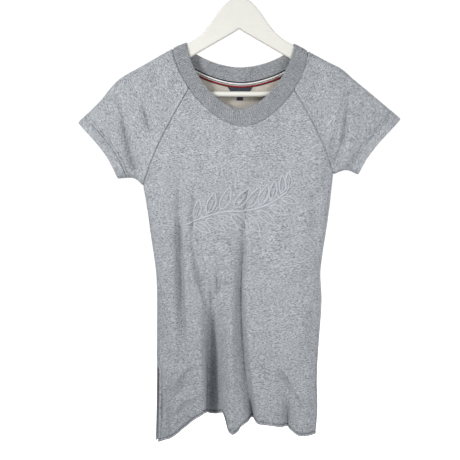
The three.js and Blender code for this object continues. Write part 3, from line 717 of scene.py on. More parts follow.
# --- grids of cloth
class ClothGrid:
    """Outer face of a cut piece: rows of points from its foot to its top, in millimetres."""

    def __init__(self, points: np.ndarray, grain: np.ndarray) -> None:
        """Keeps the points and works out their outward normals.

        Args:
            points: Rows, columns and coordinates.
            grain: Place of each point on the flat cloth.
        """
        self.points = points
        self.grain = grain
        across = np.gradient(points, axis=1)
        up = np.gradient(points, axis=0)
        normals = unit(np.cross(across, up))
        self.flipped = float((normals[..., 1] * points[..., 1]).sum()) < 0
        self.normals = -normals if self.flipped else normals
        self.normals[:, 0], self.normals[:, -1] = self.normals[:, 1], self.normals[:, -2]
        self.normals[0], self.normals[-1] = self.normals[1], self.normals[-2]

    def from_edge(self, edge: Edge) -> np.ndarray:
        """Distance of each point from an edge, measured over the cloth.

        Args:
            edge: The edge.

        Returns:
            A distance for each row and column.
        """
        axis = 0 if edge in (Edge.FOOT, Edge.TOP) else 1
        steps = np.linalg.norm(np.diff(self.points, axis=axis), axis=-1)
        sums = np.cumsum(steps, axis=axis)
        start = np.zeros_like(sums[:1] if axis == 0 else sums[:, :1])
        sums = np.concatenate([start, sums], axis=axis)
        if edge in (Edge.FOOT, Edge.LEFT):
            return sums
        return (sums[-1:] if axis == 0 else sums[:, -1:]) - sums

    def sink(self, relief: np.ndarray) -> None:
        """Moves each point into the cloth by its relief."""
        self.points = self.points - self.normals * relief[..., None]

    def line(self, edge: Edge, distance: float, keep: slice = slice(None)) -> "Seamline":
        """Line that runs along an edge.

        Args:
            edge: The edge.
            distance: Distance of the line from it, over the cloth.
            keep: Rows or columns of the grid that it runs over.

        Returns:
            The line.
        """
        away = self.from_edge(edge)
        points, normals = self.points, self.normals
        if edge in (Edge.LEFT, Edge.RIGHT):
            away, points, normals = away.T, points.swapaxes(0, 1), normals.swapaxes(0, 1)
        if edge in (Edge.TOP, Edge.RIGHT):
            away, points, normals = away[::-1], points[::-1], normals[::-1]
        away, points, normals = away[:, keep], points[:, keep], normals[:, keep]
        i = np.clip((away < distance).sum(0) - 1, 0, len(away) - 2)
        columns = np.arange(away.shape[1])
        near, far = away[i, columns], away[i + 1, columns]
        share = clamp01((distance - near) / np.maximum(far - near, 1e-9))[:, None]
        return Seamline(
            mix(points[i, columns], points[i + 1, columns], share),
            unit(mix(normals[i, columns], normals[i + 1, columns], share)),
        )

    def build(self, name: str, turned: np.ndarray) -> bpy.types.Object:
        """Mesh of the outer face, with its grain as a UV map in metres.

        Args:
            name: Name of the piece.
            turned: For each point, whether a turned hem lies behind it.

        Returns:
            The piece, whose turned faces have the material index TURNED.
        """
        piece = grid_piece(name, self.points, self.grain, self.flipped)
        corners = np.empty(len(piece.data.loops), np.int32)
        piece.data.loops.foreach_get("vertex_index", corners)
        behind = turned.ravel()[corners.reshape(-1, 4)].all(axis=1)
        slots = np.where(behind, TURNED, 0).astype(np.int32)
        piece.data.polygons.foreach_set("material_index", slots)
        return piece


@dataclass
class Seamline:
    """Line over the cloth with the outward direction at each of its points."""

    points: np.ndarray
    normals: np.ndarray

    def at(self, distances: np.ndarray) -> tuple[np.ndarray, np.ndarray]:
        """Points and outward directions at distances along the line."""
        sums = running(np.linalg.norm(np.diff(self.points, axis=0), axis=1))
        pick = [
            np.stack([np.interp(distances, sums, values[:, k]) for k in range(3)], -1)
            for values in (self.points, self.normals)
        ]
        return pick[0], unit(pick[1])

    def length(self) -> float:
        """Length of the line."""
        return float(np.linalg.norm(np.diff(self.points, axis=0), axis=1).sum())


def object_from(name: str, bm: bmesh.types.BMesh) -> bpy.types.Object:
    """Object in the scene from a bmesh, which is freed, shaded smooth."""
    mesh = bpy.data.meshes.new(name)
    bm.to_mesh(mesh)
    bm.free()
    mesh.polygons.foreach_set("use_smooth", [True] * len(mesh.polygons))
    piece = bpy.data.objects.new(name, mesh)
    bpy.context.scene.collection.objects.link(piece)
    return piece


def write_grain(piece: bpy.types.Object, grain: np.ndarray) -> None:
    """Gives a mesh a UV map, in metres, from a place for each of its vertices."""
    mesh = piece.data
    corners = np.empty(len(mesh.loops), np.int32)
    mesh.loops.foreach_get("vertex_index", corners)
    layer = mesh.uv_layers.new(name="grain")
    layer.data.foreach_set("uv", (grain[corners] * MM).astype(np.float32).ravel())


def grid_piece(
    name: str, points: np.ndarray, grain: np.ndarray, flipped: bool = False
) -> bpy.types.Object:
    """Object from a grid that is laid over rows of points.

    Args:
        name: Name of the piece.
        points: Rows, columns and coordinates, in millimetres.
        grain: Place of each point on the flat cloth, in millimetres.
        flipped: Whether the faces have to be turned over.

    Returns:
        The new object, at the origin.
    """
    rows, columns = points.shape[:2]
    bm = bmesh.new()
    bmesh.ops.create_grid(bm, x_segments=columns - 1, y_segments=rows - 1, size=1.0)
    for vertex, place in zip(bm.verts, points.reshape(-1, 3) * MM):
        vertex.co = place
    if flipped:
        bmesh.ops.reverse_faces(bm, faces=bm.faces[:])
    piece = object_from(name, bm)
    write_grain(piece, grain.reshape(-1, 2))
    return piece


def ring_tubes(
    name: str, tubes: Sequence[np.ndarray], grain_width: float = 3.0, closed: bool = False
) -> bpy.types.Object:
    """One object of closed tubes, each laid over rings of points.

    Args:
        name: Name of the piece.
        tubes: For each tube, its rings, their points and coordinates, in millimetres.
        grain_width: Distance round a tube on its UV map, in millimetres.
        closed: Whether each tube's last ring lies on its first, so that it has no ends to cap.

    Returns:
        The new object, whose tubes face outwards.
    """
    bm = bmesh.new()
    uv = bm.loops.layers.uv.new("grain")
    for rings in tubes:
        rows, sides = rings.shape[:2]
        wrapped = np.concatenate([rings, rings[:, :1]], axis=1)
        run = running(np.linalg.norm(np.diff(rings.mean(1), axis=0), axis=1)) * MM
        made = bmesh.ops.create_grid(bm, x_segments=sides, y_segments=rows - 1, size=1.0)["verts"]
        places = {}
        for k, (vertex, place) in enumerate(zip(made, wrapped.reshape(-1, 3) * MM)):
            row, column = divmod(k, sides + 1)
            vertex.co = place
            places[vertex] = (column / sides * grain_width * MM, run[row])
        for face in {face for vertex in made for face in vertex.link_faces}:
            for loop in face.loops:
                loop[uv].uv = places[loop.vert]
    bmesh.ops.remove_doubles(bm, verts=bm.verts[:], dist=MERGE)
    if not closed:
        bmesh.ops.holes_fill(bm, edges=[edge for edge in bm.edges if edge.is_boundary], sides=0)
    bmesh.ops.recalc_face_normals(bm, faces=bm.faces[:])
    return object_from(name, bm)


def thicken(piece: bpy.types.Object, wall: float, inner_slot: int = 0) -> None:
    """Gives a face of cloth its thickness, towards its inside."""
    solid = piece.modifiers.new("wall", "SOLIDIFY")
    solid.thickness = wall * MM
    solid.offset = -1.0
    solid.use_rim = True
    solid.material_offset = inner_slot


def finish_piece(
    piece: bpy.types.Object,
    materials: Sequence[bpy.types.Material],
    replaces: Sequence[str] = (),
) -> bpy.types.Object:
    """Dresses a piece, puts it on the body and reports it.

    Args:
        piece: The piece.
        materials: Its materials in order.
        replaces: CAD nodes that it stands for.

    Returns:
        The same piece.
    """
    for material in materials:
        piece.data.materials.append(material)
    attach(piece, BODY)
    if replaces:
        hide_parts(*replaces)
    LOG.info("%s: %d faces", piece.name, len(piece.data.polygons))
    return piece


# --- seams and stitches
def spaced(count: int, weight: Callable) -> np.ndarray:
    """Shares from 0 to 1 in a number of steps, closer together where the weight is larger."""
    samples = 2000
    sums = running(weight((np.arange(samples) + 0.5) / samples))
    places = np.linspace(0, sums[-1], count + 1)
    return np.interp(places, sums, np.linspace(0, 1, samples + 1))


@dataclass(frozen=True)
class Sewing:
    """Sizes of the seams, hems and stitches, in millimetres."""

    groove: float = 2.4
    groove_width: float = 1.3
    welt: float = 0.35
    welt_at: float = 4.2
    welt_width: float = 2.2
    edge_round: float = 1.3
    edge_drop: float = 0.8
    allowance: float = 0.8
    turned: float = 0.7
    turned_ease: float = 1.6
    needle: float = 1.7
    needle_width: float = 1.0
    pucker: float = 0.3
    pucker_pitch: float = 8.5
    pucker_sway: float = 1.7
    sway_pitch: float = 21.0
    pucker_at: float = 0.55
    pucker_width: float = 0.42
    stitch: float = 2.7
    pitch: float = 3.5
    thread: float = 0.45
    thread_rise: float = 0.45

    def seam(self, distance: np.ndarray) -> np.ndarray:
        """Relief beside a seam: its groove and the welt of the allowances under the cloth."""
        groove = self.groove * bell(distance, self.groove_width)
        return groove - self.welt * bell(distance - self.welt_at, self.welt_width)

    def hem(
        self, distance: np.ndarray, rows: Sequence[float], along: np.ndarray, dip: Number = 0.0
    ) -> np.ndarray:
        """Relief of a turned hem.

        Args:
            distance: Distance of each point from the edge.
            rows: Distances of its stitch rows from the edge.
            along: Distance of each point along the edge.
            dip: Depth of the soft dip that the stitch rows pull into the cloth.

        Returns:
            Depth to sink each point by.
        """
        depth = max(rows) + self.allowance
        edge = 1 - np.sqrt(1 - (1 - clamp01(distance / self.edge_round)) ** 2)
        relief = self.edge_round * self.edge_drop * edge
        relief = relief - self.turned * (1 - smooth((distance - depth) / self.turned_ease))
        for row in rows:
            relief = relief + self.needle * bell(distance - row, self.needle_width)
        if len(rows) > 1:
            middle = (min(rows) + max(rows)) / 2
            relief = relief + dip * bell(distance - middle, max(rows) - min(rows))
        sway = self.pucker_sway * np.sin(along / self.sway_pitch)
        swell = np.sin(2 * np.pi * along / self.pucker_pitch + sway)
        beside = bell(distance - depth * self.pucker_at, depth * self.pucker_width)
        return relief + self.pucker * swell * beside


SEWING = Sewing()
HEM_ROWS = (6.0, 8.8)
CUFF_ROWS = (19.0, 25.0)
CUFF_DIP = 3.0
CUFF_FADE = 0.45
VENT_ROWS = (7.0,)
VENT_INSET = {Side.LEFT: 8.5, Side.RIGHT: 3.2}
VENT_TURN = 14.0


class Stitches:
    """Rows of stitches, gathered into one piece."""

    def __init__(self) -> None:
        """Starts with no stitch."""
        self.places: list[Matrix] = []

    def row(self, line: Seamline, start: float = 2.0) -> None:
        """Adds a row of stitches.

        Args:
            line: The line that it follows.
            start: Distance of its ends from the ends of the line.
        """
        count = int((line.length() - 2 * start) / SEWING.pitch)
        middles = start + (np.arange(count) + 0.5) * SEWING.pitch
        points, normals = line.at(middles)
        ahead, _ = line.at(middles + 0.5)
        behind, _ = line.at(middles - 0.5)
        runs = unit(ahead - behind)
        sides = np.cross(normals, runs)
        for point, normal, run, side in zip(points, normals, runs, sides):
            matrix = np.identity(4)
            matrix[:3, 0] = side * SEWING.thread * MM
            matrix[:3, 1] = normal * SEWING.thread * MM
            matrix[:3, 2] = run * SEWING.stitch / 2 * MM
            matrix[:3, 3] = (point + normal * SEWING.thread * SEWING.thread_rise) * MM
            self.places.append(Matrix(matrix.tolist()))

    def build(self, name: str) -> bpy.types.Object:
        """One object of all the stitches."""
        bm = bmesh.new()
        for place in self.places:
            bmesh.ops.create_uvsphere(bm, u_segments=6, v_segments=4, radius=1.0, matrix=place)
        bmesh.ops.recalc_face_normals(bm, faces=bm.faces[:])
        return object_from(name, bm)


# --- body panels
FRONT_FOLDS = (0.16, 0.27, 0.34, 0.53, 0.6, 0.82)
BACK_FOLDS = (0.25, 0.74)
FOOT_ROWS = (0, 0.3, 0.7, 1.3, 2.2, 3.3, 4.4, 5.1, 5.6, 6.1, 6.7, 7.4, 8.0, 8.5, 9, 9.7, 11)
FOOT_ROWS_END = 13
NECK_ROWS = (10, 8, 6.5, 5.2, 4.2, 3.2, 2.3, 1.5, 0.8, 0.3, 0)
NECK_HEIGHT = 200
NECK_ROWS_START = 0.06
VENT_EASE = 14
VENT_STITCH_ROW = 14
SIDE_LINE_EASE = 60
SIDE_LINE_WIDTH = 1.3
SIDE_LINES = {Edge.LEFT: -600.0, Edge.RIGHT: -690.0}
SIDE_LINE_AT = 12.5


@dataclass
class BodyPanel:
    """Front or back panel, from the hem to the neck seam between the two raglan seams."""

    drape: Drape
    layer: Layer
    node: str
    dense: tuple[float, ...]
    columns: int = 100
    edge_steps: int = 11
    lower_rows: int = 130
    upper_rows: int = 66
    denser: float = 1.3
    denser_within: float = 0.035
    clear: float = 0.1
    neck_samples: int = 161

    def across(self, left: np.ndarray, right: np.ndarray) -> np.ndarray:
        """Positions across each row, closer together at the edges and at the deep folds.

        Args:
            left: Left end of each row.
            right: Right end of each row.

        Returns:
            A row of positions for each end.
        """

        def weight(share: np.ndarray) -> np.ndarray:
            """How close the columns lie."""
            folds = (bell(share - fold, self.denser_within) for fold in self.dense)
            return 1 + sum(self.denser * fold for fold in folds)

        turn = CUT.bend * (1 - np.cos(np.linspace(0, np.pi / 2, self.edge_steps + 1)))[:-1]
        shares = spaced(self.columns, weight)
        left, right = left[:, None], right[:, None]
        middle = mix(left + CUT.bend, right - CUT.bend, shares)
        return np.hstack([left + turn, middle, right - turn[::-1]])

    def lower(self) -> tuple[np.ndarray, np.ndarray, np.ndarray]:
        """Rows from the hem to under the arms.

        Returns:
            Position across, height, and height on the flat cloth, for each point.
        """
        drape = self.drape
        hem = drape.hem[self.layer]
        left_pit, right_pit = drape.armpit[Side.LEFT], drape.armpit[Side.RIGHT]
        tall = (left_pit[1] + right_pit[1]) / 2 - float(hem(0.0))
        near = np.array(FOOT_ROWS) / tall
        rest = np.linspace(FOOT_ROWS_END / tall, 1, self.lower_rows, endpoint=False)
        rises = np.concatenate([near, rest])
        left_z = mix(float(hem(HEMS[0].x)), left_pit[1], rises)
        right_z = mix(float(hem(HEMS[-1].x)), right_pit[1], rises)
        inset = np.zeros(len(rises))
        if self.layer is Layer.FRONT:
            mean = (left_z + right_z) / 2
            inset = smooth((CUT.vent_top - mean) / (CUT.vent_top - CUT.vent_full))
        left = drape.flank_x[Side.LEFT](left_z) + inset * VENT_INSET[Side.LEFT]
        right = drape.flank_x[Side.RIGHT](right_z) - inset * VENT_INSET[Side.RIGHT]
        x = self.across(left, right)
        share = (x - left[:, None]) / (right - left)[:, None]
        z = mix(hem(x), mix(left_pit[1], right_pit[1], share), rises[:, None])
        return x, z, np.broadcast_to(rises[:, None] * tall, x.shape)

    def upper(self) -> tuple[np.ndarray, np.ndarray, np.ndarray]:
        """Rows from under the arms to the neck seam.

        Returns:
            Position across, height, and height on the flat cloth, for each point.
        """
        drape = self.drape
        neck = shifted(drape.neck("outer", self.layer), -self.clear)
        starts = [drape.raglan_start(side, self.layer) for side in Side]
        near = np.array(NECK_ROWS) / NECK_HEIGHT
        steps = np.concatenate([np.linspace(1, NECK_ROWS_START, self.upper_rows), near])
        left_x, left_z = shifted(drape.raglan(Side.LEFT, self.layer), SEAM / 2)(steps)
        right_x, right_z = shifted(drape.raglan(Side.RIGHT, self.layer), -SEAM / 2)(steps)
        sag = self.sag_under(neck, *starts)
        x = self.across(left_x, right_x)
        share = (x - left_x[:, None]) / (right_x - left_x)[:, None]
        chord = mix(left_z[:, None], right_z[:, None], share)
        z = chord - sag(share) * (1 - steps[:, None]) ** CUT.neck_ease
        pits = mix(drape.armpit[Side.LEFT][1], drape.armpit[Side.RIGHT][1], share)
        base = sum(drape.armpit[side][1] for side in Side) / 2 - float(drape.hem[self.layer](0.0))
        return x, z, z - pits + base

    def sag_under(self, neck: Curve, start: float, end: float) -> Callable:
        """How far the neck line sags under its chord, by the share of its width."""
        x, z = neck(np.linspace(start, end, self.neck_samples))
        share = (x - x[0]) / (x[-1] - x[0])
        return through(share, mix(z[0], z[-1], share) - z)

    def grid(self) -> ClothGrid:
        """Outer face of the panel with its seams and hems.

        Returns:
            The grid, sunk at its seams, stitches and edges.
        """
        parts = [self.lower(), self.upper()]
        x, z, height = (np.vstack([part[k] for part in parts]) for k in range(3))
        points = self.drape.place(self.layer, x, z)
        width = running(np.linalg.norm(np.diff(points, axis=1), axis=-1).T).T
        grain = np.stack([width - width[:, -1:] / 2, height], -1)
        grid = ClothGrid(points, grain)
        foot, top = grid.from_edge(Edge.FOOT), grid.from_edge(Edge.TOP)
        side = np.minimum(grid.from_edge(Edge.LEFT), grid.from_edge(Edge.RIGHT))
        opened = smooth((CUT.vent_top - 2 - z) / VENT_EASE)
        relief = SEWING.seam(top) + SEWING.seam(side) * (1 - opened)
        relief += SEWING.hem(side, VENT_ROWS, height) * opened
        relief += SEWING.hem(foot, HEM_ROWS, width)
        if self.layer is Layer.FRONT:
            for edge, top_of_line in SIDE_LINES.items():
                shown = smooth((top_of_line - z) / SIDE_LINE_EASE) * (1 - opened)
                line = bell(grid.from_edge(edge) - SIDE_LINE_AT, SIDE_LINE_WIDTH)
                relief += SEWING.groove * line * shown
        grid.sink(relief)
        self.turned = (foot < max(HEM_ROWS) + 2) | ((side < VENT_TURN) & (opened > 0.3))
        return grid

    def sew(self, grid: ClothGrid, stitches: Stitches) -> None:
        """Adds the stitches of the hem and of the vents."""
        for distance in HEM_ROWS:
            stitches.row(grid.line(Edge.FOOT, distance))
        end = int((grid.points[:, 0, 2] < CUT.vent_top - 4).sum())
        vent = slice(VENT_STITCH_ROW, end)
        for edge in (Edge.LEFT, Edge.RIGHT):
            for distance in VENT_ROWS:
                stitches.row(grid.line(edge, distance, vent))


# --- sleeves
SLEEVE_AROUND = 170
SEAM_LENGTH, SEAM_END = 210, 14
SEAM_ROWS = (0, 0.3, 0.8, 1.5, 2.3, 3.2, 4.2, 5.2, 6.5, 8, 10)
CUFF_LENGTH, CUFF_START = 190, 33
CUFF_POINTS = (29, 27.4, 26.2, 25.6, 25, 24.4, 23.4, 22, 20.4, 19.6, 19, 18.4, 17.2, 15)
CUFF_POINTS += (12.5, 10, 7.5, 5, 3, 1.8, 1, 0.4, 0)
LIFT_LEAN = 1.7
UNDERARM_EASE = 8
FACED_FROM, FACED_WITHIN = 4, 9


@dataclass
class Sleeve:
    """Raglan sleeve: one sheet from the front seam over the shoulder to the back seam."""

    drape: Drape
    side: Side
    node: str
    around: int = 54
    along: int = 64
    clear: float = 0.1

    def shares_around(self) -> np.ndarray:
        """Shares from the shoulder fold to the seam under the arm, closer together at both."""
        turn = CUT.bend * (1 - np.cos(np.linspace(0, np.pi / 2, 9))) / SLEEVE_AROUND
        middle = np.linspace(turn[-1], 1 - turn[-1], self.around)
        return np.concatenate([turn[:-1], middle, 1 - turn[:-1][::-1]])

    def shares_along(self) -> np.ndarray:
        """Shares from the neck and raglan seams to the cuff, closer together at both."""
        seam = np.array(SEAM_ROWS) / SEAM_LENGTH
        cuff = np.array(CUFF_POINTS) / CUFF_LENGTH
        middle = np.linspace(SEAM_END / SEAM_LENGTH, 1 - CUFF_START / CUFF_LENGTH, self.along)
        return np.concatenate([seam, middle, 1 - cuff])

    def cuff_ends(self) -> tuple[np.ndarray, np.ndarray]:
        """Tip and lower corner of the cuff."""
        tip = np.array(self.drape.upper[self.side](1.0))
        return tip, np.array(self.drape.under[self.side](0.0))

    def half(
        self, layer: Layer, t: np.ndarray, v: np.ndarray
    ) -> tuple[np.ndarray, np.ndarray]:
        """Front or back half of the sleeve over the front view.

        Args:
            layer: The layer.
            t: Shares around, from the shoulder fold to the seam under the arm.
            v: Shares along, from the neck to the cuff.

        Returns:
            Position across and height, with a row for each share around.
        """
        drape, side = self.drape, self.side
        shoulder = 0.0 if side is Side.LEFT else 1.0
        neck = shifted(drape.neck("outer", layer), -self.clear)
        raglan = shifted(drape.raglan(side, layer), side.value * SEAM / 2)
        split = CUT.neck_share
        on_neck = neck(mix(shoulder, drape.raglan_start(side, layer), clamp01(t / split)))
        on_raglan = raglan(clamp01((t - split) / (1 - split)))
        seam = np.where(t < split, np.stack(on_neck), np.stack(on_raglan))
        start = drape.shoulder_share(side, seam[0, 0])
        first = np.array(drape.upper[side](start))
        seam[:, 0] = first
        tip, corner = self.cuff_ends()
        axis = np.array([corner[1] - tip[1], tip[0] - corner[0]])
        hollow = CUFF_HOLLOW[side] * np.sin(np.pi * t)
        if layer is Layer.FRONT:
            hollow = hollow + CUFF_LIFT[side] * np.sin(np.pi * t**LIFT_LEAN)
        hollow = side.value * hollow / np.linalg.norm(axis)
        cuff = mix(tip[:, None], corner[:, None], t) + axis[:, None] * hollow
        top = np.stack(drape.upper[side](mix(start, 1, v)))
        low = np.stack(drape.under[side](1 - v))
        places = []
        for k in range(2):
            rows = mix(seam[k][:, None], cuff[k][:, None], v)
            columns = mix(top[k], low[k], t[:, None])
            ends = mix(mix(first[k], tip[k], v), mix(seam[k, -1], corner[k], v), t[:, None])
            places.append(rows + columns - ends)
        return places[0], places[1]

    def grid(self) -> ClothGrid:
        """Outer face of the sleeve with its seams and its hem.

        Returns:
            The grid, from the front's seam over the shoulder to the back's.
        """
        t, v = self.shares_around(), self.shares_along()
        halves = {layer: self.half(layer, t, v) for layer in Layer}
        points = [self.drape.place(layer, *halves[layer]) for layer in Layer]
        points = np.concatenate([points[0][::-1], points[1][1:]])
        grid = ClothGrid(points, np.zeros(points.shape[:2] + (2,)))
        seam, cuff = grid.from_edge(Edge.LEFT), grid.from_edge(Edge.RIGHT)
        under = np.minimum(grid.from_edge(Edge.FOOT), grid.from_edge(Edge.TOP))
        around = grid.from_edge(Edge.FOOT)
        grid.grain = np.stack([around, -cuff], -1)
        relief = SEWING.seam(seam) + SEWING.seam(under) * smooth(seam / UNDERARM_EASE)
        faced = smooth((np.abs(points[..., 1]) - FACED_FROM) / FACED_WITHIN)
        hem = SEWING.hem(cuff, CUFF_ROWS, around, CUFF_DIP * faced)
        grid.sink(relief + hem * mix(CUFF_FADE, 1.0, faced))
        self.turned = cuff < max(CUFF_ROWS) + 1
        return grid

    def tilt(self) -> float:
        """Turn about Y that brings the cuff's direction level, in radians."""
        tip, corner = self.cuff_ends()
        across, down = corner - tip
        return math.atan2(down, across) if self.side is Side.LEFT else math.atan2(-down, -across)

    def sew(self, grid: ClothGrid, stitches: Stitches) -> None:
        """Adds the stitches of the cuff."""
        for distance in CUFF_ROWS:
            stitches.row(grid.line(Edge.RIGHT, distance))


# --- neck
@dataclass
class NeckRib:
    """Ribbed band round the neck, folded over at its upper edge."""

    drape: Drape
    node: str = "neck_band"
    ribs: int = 160
    per_rib: int = 8
    face_rows: int = 17
    fold_rows: int = 5
    rise: float = 1.0
    clear: float = 0.12
    row: float = 6.0
    row_depth: float = 0.8
    row_width: float = 1.1
    samples: int = 1201
    roundness: float = 0.7
    held: float = 0.75
    held_within: float = 0.09
    inner_relief: float = 0.4
    fold_bulge: float = 1.15
    knit_width: float = 44.0

    def stations(self) -> tuple[np.ndarray, np.ndarray]:
        """Evenly spaced lines across the band.

        Returns:
            Sign of the layer and share along its neck line, for each line.
        """
        fine = np.linspace(0, 1, self.samples)
        count = self.ribs * self.per_rib
        runs = []
        for layer in Layer:
            a = np.stack(self.drape.neck("inner", layer)(fine))
            b = np.stack(self.drape.neck("outer", layer)(fine))
            x, z = mix(a, b, 0.5)
            points = self.drape.place(layer, x, z)
            runs.append(running(np.linalg.norm(np.diff(points, axis=0), axis=1)))
        total = runs[0][-1] + runs[1][-1]
        targets = total * (np.arange(count) + 0.5) / count
        front = targets < runs[0][-1]
        shares = np.where(
            front,
            np.interp(targets, runs[0], fine),
            np.interp(total - targets, runs[1], fine),
        )
        return np.where(front, Layer.FRONT.value, Layer.BACK.value), shares

    def build(self) -> bpy.types.Object:
        """The band as one closed ring of knit.

        Returns:
            The new object.
        """
        signs, shares = self.stations()
        phase = 2 * np.pi * np.arange(len(shares)) / self.per_rib
        rib = (0.5 + 0.5 * np.cos(phase)) ** self.roundness
        levels = np.linspace(0, 1, self.face_rows)
        outer = np.zeros((self.face_rows, len(shares), 3))
        normals = np.zeros_like(outer)
        for layer in Layer:
            chosen = signs == layer.value
            a = np.stack(self.drape.neck("inner", layer)(shares[chosen]))
            b = np.stack(shifted(self.drape.neck("outer", layer), self.clear)(shares[chosen]))
            for row, level in enumerate(levels):
                x, z = mix(a, b, level)
                outer[row, chosen], normals[row, chosen] = self.drape.frame_at(layer, x, z)
        held = self.held * bell(1 - levels[:, None], self.held_within)
        lift = self.rise * rib * (1 - held)
        wide = np.linalg.norm(outer[0] - outer[-1], axis=1)[None, :]
        away = (1 - levels[:, None]) * wide
        sunk = SEWING.groove * bell(away, SEWING.groove_width)
        row = self.row_depth * bell(away - self.row, self.row_width)
        sunk = sunk + row * np.abs(np.cos(np.pi * shares))
        face = outer + normals * (lift - sunk)[..., None]
        inside = outer - normals * (WALL + self.inner_relief * lift)[..., None]
        bulge = self.fold_bulge * unit(outer[0] - outer[1])
        turns = np.linspace(0, np.pi, self.fold_rows + 2)[1:-1]
        middle = (face[0] + inside[0]) / 2
        reach = np.linalg.norm(face[0] - inside[0], axis=1, keepdims=True) / 2
        fold = [
            middle + reach * (normals[0] * math.cos(turn) + bulge * math.sin(turn))
            for turn in turns
        ]
        loop = np.stack([*face[::-1], *fold, *inside])
        rings = loop.swapaxes(0, 1)
        band = np.concatenate([rings, rings[:1]])
        return ring_tubes("neck_rib", [band], grain_width=self.knit_width, closed=True)


@dataclass
class InsidePatch:
    """Flat trim sewn to the inside of the back, between an upper and a lower edge."""

    drape: Drape
    name: str
    upper: Curve
    lower: Curve
    columns: int
    rows: int = 8
    thick: float = 0.8
    clear: float = 0.25
    bow: float = 0.0
    thinned: float = 0.55
    squareness: int = 6

    def grid(self) -> tuple[np.ndarray, np.ndarray]:
        """Face that lies on the cloth: its points, a row for each column, and their normals."""
        s = np.linspace(0, 1, self.columns + 1)
        top, low = np.stack(self.upper(s)), np.stack(self.lower(s))
        levels = np.linspace(0, 1, self.rows)[None, :]
        x, z = mix(top[:, :, None], low[:, :, None], levels)
        points, normals = self.drape.frame_at(Layer.BACK, x, z)
        away = WALL + self.clear + self.bow * (1 - np.cos(np.pi / 2 * levels))
        return points - normals * away[..., None], normals

    def build(self) -> bpy.types.Object:
        """The trim as a closed slab with softened edges."""
        back, normals = self.grid()
        level = np.linspace(0, 1, self.rows)
        crown = self.thick * (1 - self.thinned * np.abs(2 * level - 1) ** self.squareness)
        front = back - normals * crown[None, :, None]
        rings = np.concatenate([front, back[:, ::-1]], axis=1)
        width = float(np.linalg.norm(front[0, -1] - front[0, 0]))
        return ring_tubes(self.name, [rings], grain_width=2 * width)


@dataclass
class BackNeckTrim:
    """Tape over the back neck seam, with a label under it and a small one below that."""

    drape: Drape
    tape_reach: float = 92.0
    tape_width: float = 12.0
    label_top: float = 48.0
    label_foot: float = 39.0
    label_height: float = 8.5
    small_width: float = 12.0
    small_height: float = 15.0
    gap: float = 0.3

    def seam(self, reach: float) -> Curve:
        """The back neck seam, out to a distance on each side of its middle."""
        line = self.drape.neck("outer", Layer.BACK)
        shares = np.linspace(0, 0.5, 2001)
        from_middle = line(0.5)[0] - line(shares)[0]
        start = float(np.interp(-reach, -from_middle, shares))
        return lambda s: line(mix(start, 1 - start, s))

    def tape(self) -> InsidePatch:
        """Striped tape."""
        seam = self.seam(self.tape_reach)
        half = self.tape_width / 2
        edges = shifted(seam, half), shifted(seam, -half)
        return InsidePatch(self.drape, "back_neck_tape", *edges, 90, rows=9)

    def label_edge(self) -> Curve:
        """Upper edge of the neck label, along the foot of the tape."""
        return shifted(self.seam(self.label_top / 2), -self.tape_width / 2 - self.gap)

    def label(self) -> InsidePatch:
        """Neck label, narrower at its foot."""
        top = self.label_edge()
        middle = float(top(0.5)[0])

        def foot(s: Number) -> tuple[np.ndarray, np.ndarray]:
            """Point at a share of the lower edge."""
            return middle + (s - 0.5) * self.label_foot, top(s)[1] - self.label_height

        return InsidePatch(self.drape, "neck_label_patch", top, foot, 30, thick=0.7, bow=0.4)

    def small_label(self) -> InsidePatch:
        """Small label under the neck label."""
        middle, top = (float(value) for value in self.label_edge()(0.5))
        start = top - self.label_height - self.gap

        def edge(height: float) -> Curve:
            """Level line at a height."""
            return lambda s: (middle + (s - 0.5) * self.small_width, height + 0.0 * s)

        edges = edge(start), edge(start - self.small_height)
        return InsidePatch(
            self.drape, "size_label_patch", *edges, 8, rows=9, thick=0.5, bow=0.8
        )


# --- embroidery
class Stroke(NamedTuple):
    """Line of the embroidery: its points on the chest and its width."""

    points: tuple[tuple[float, float], ...]
    width: float


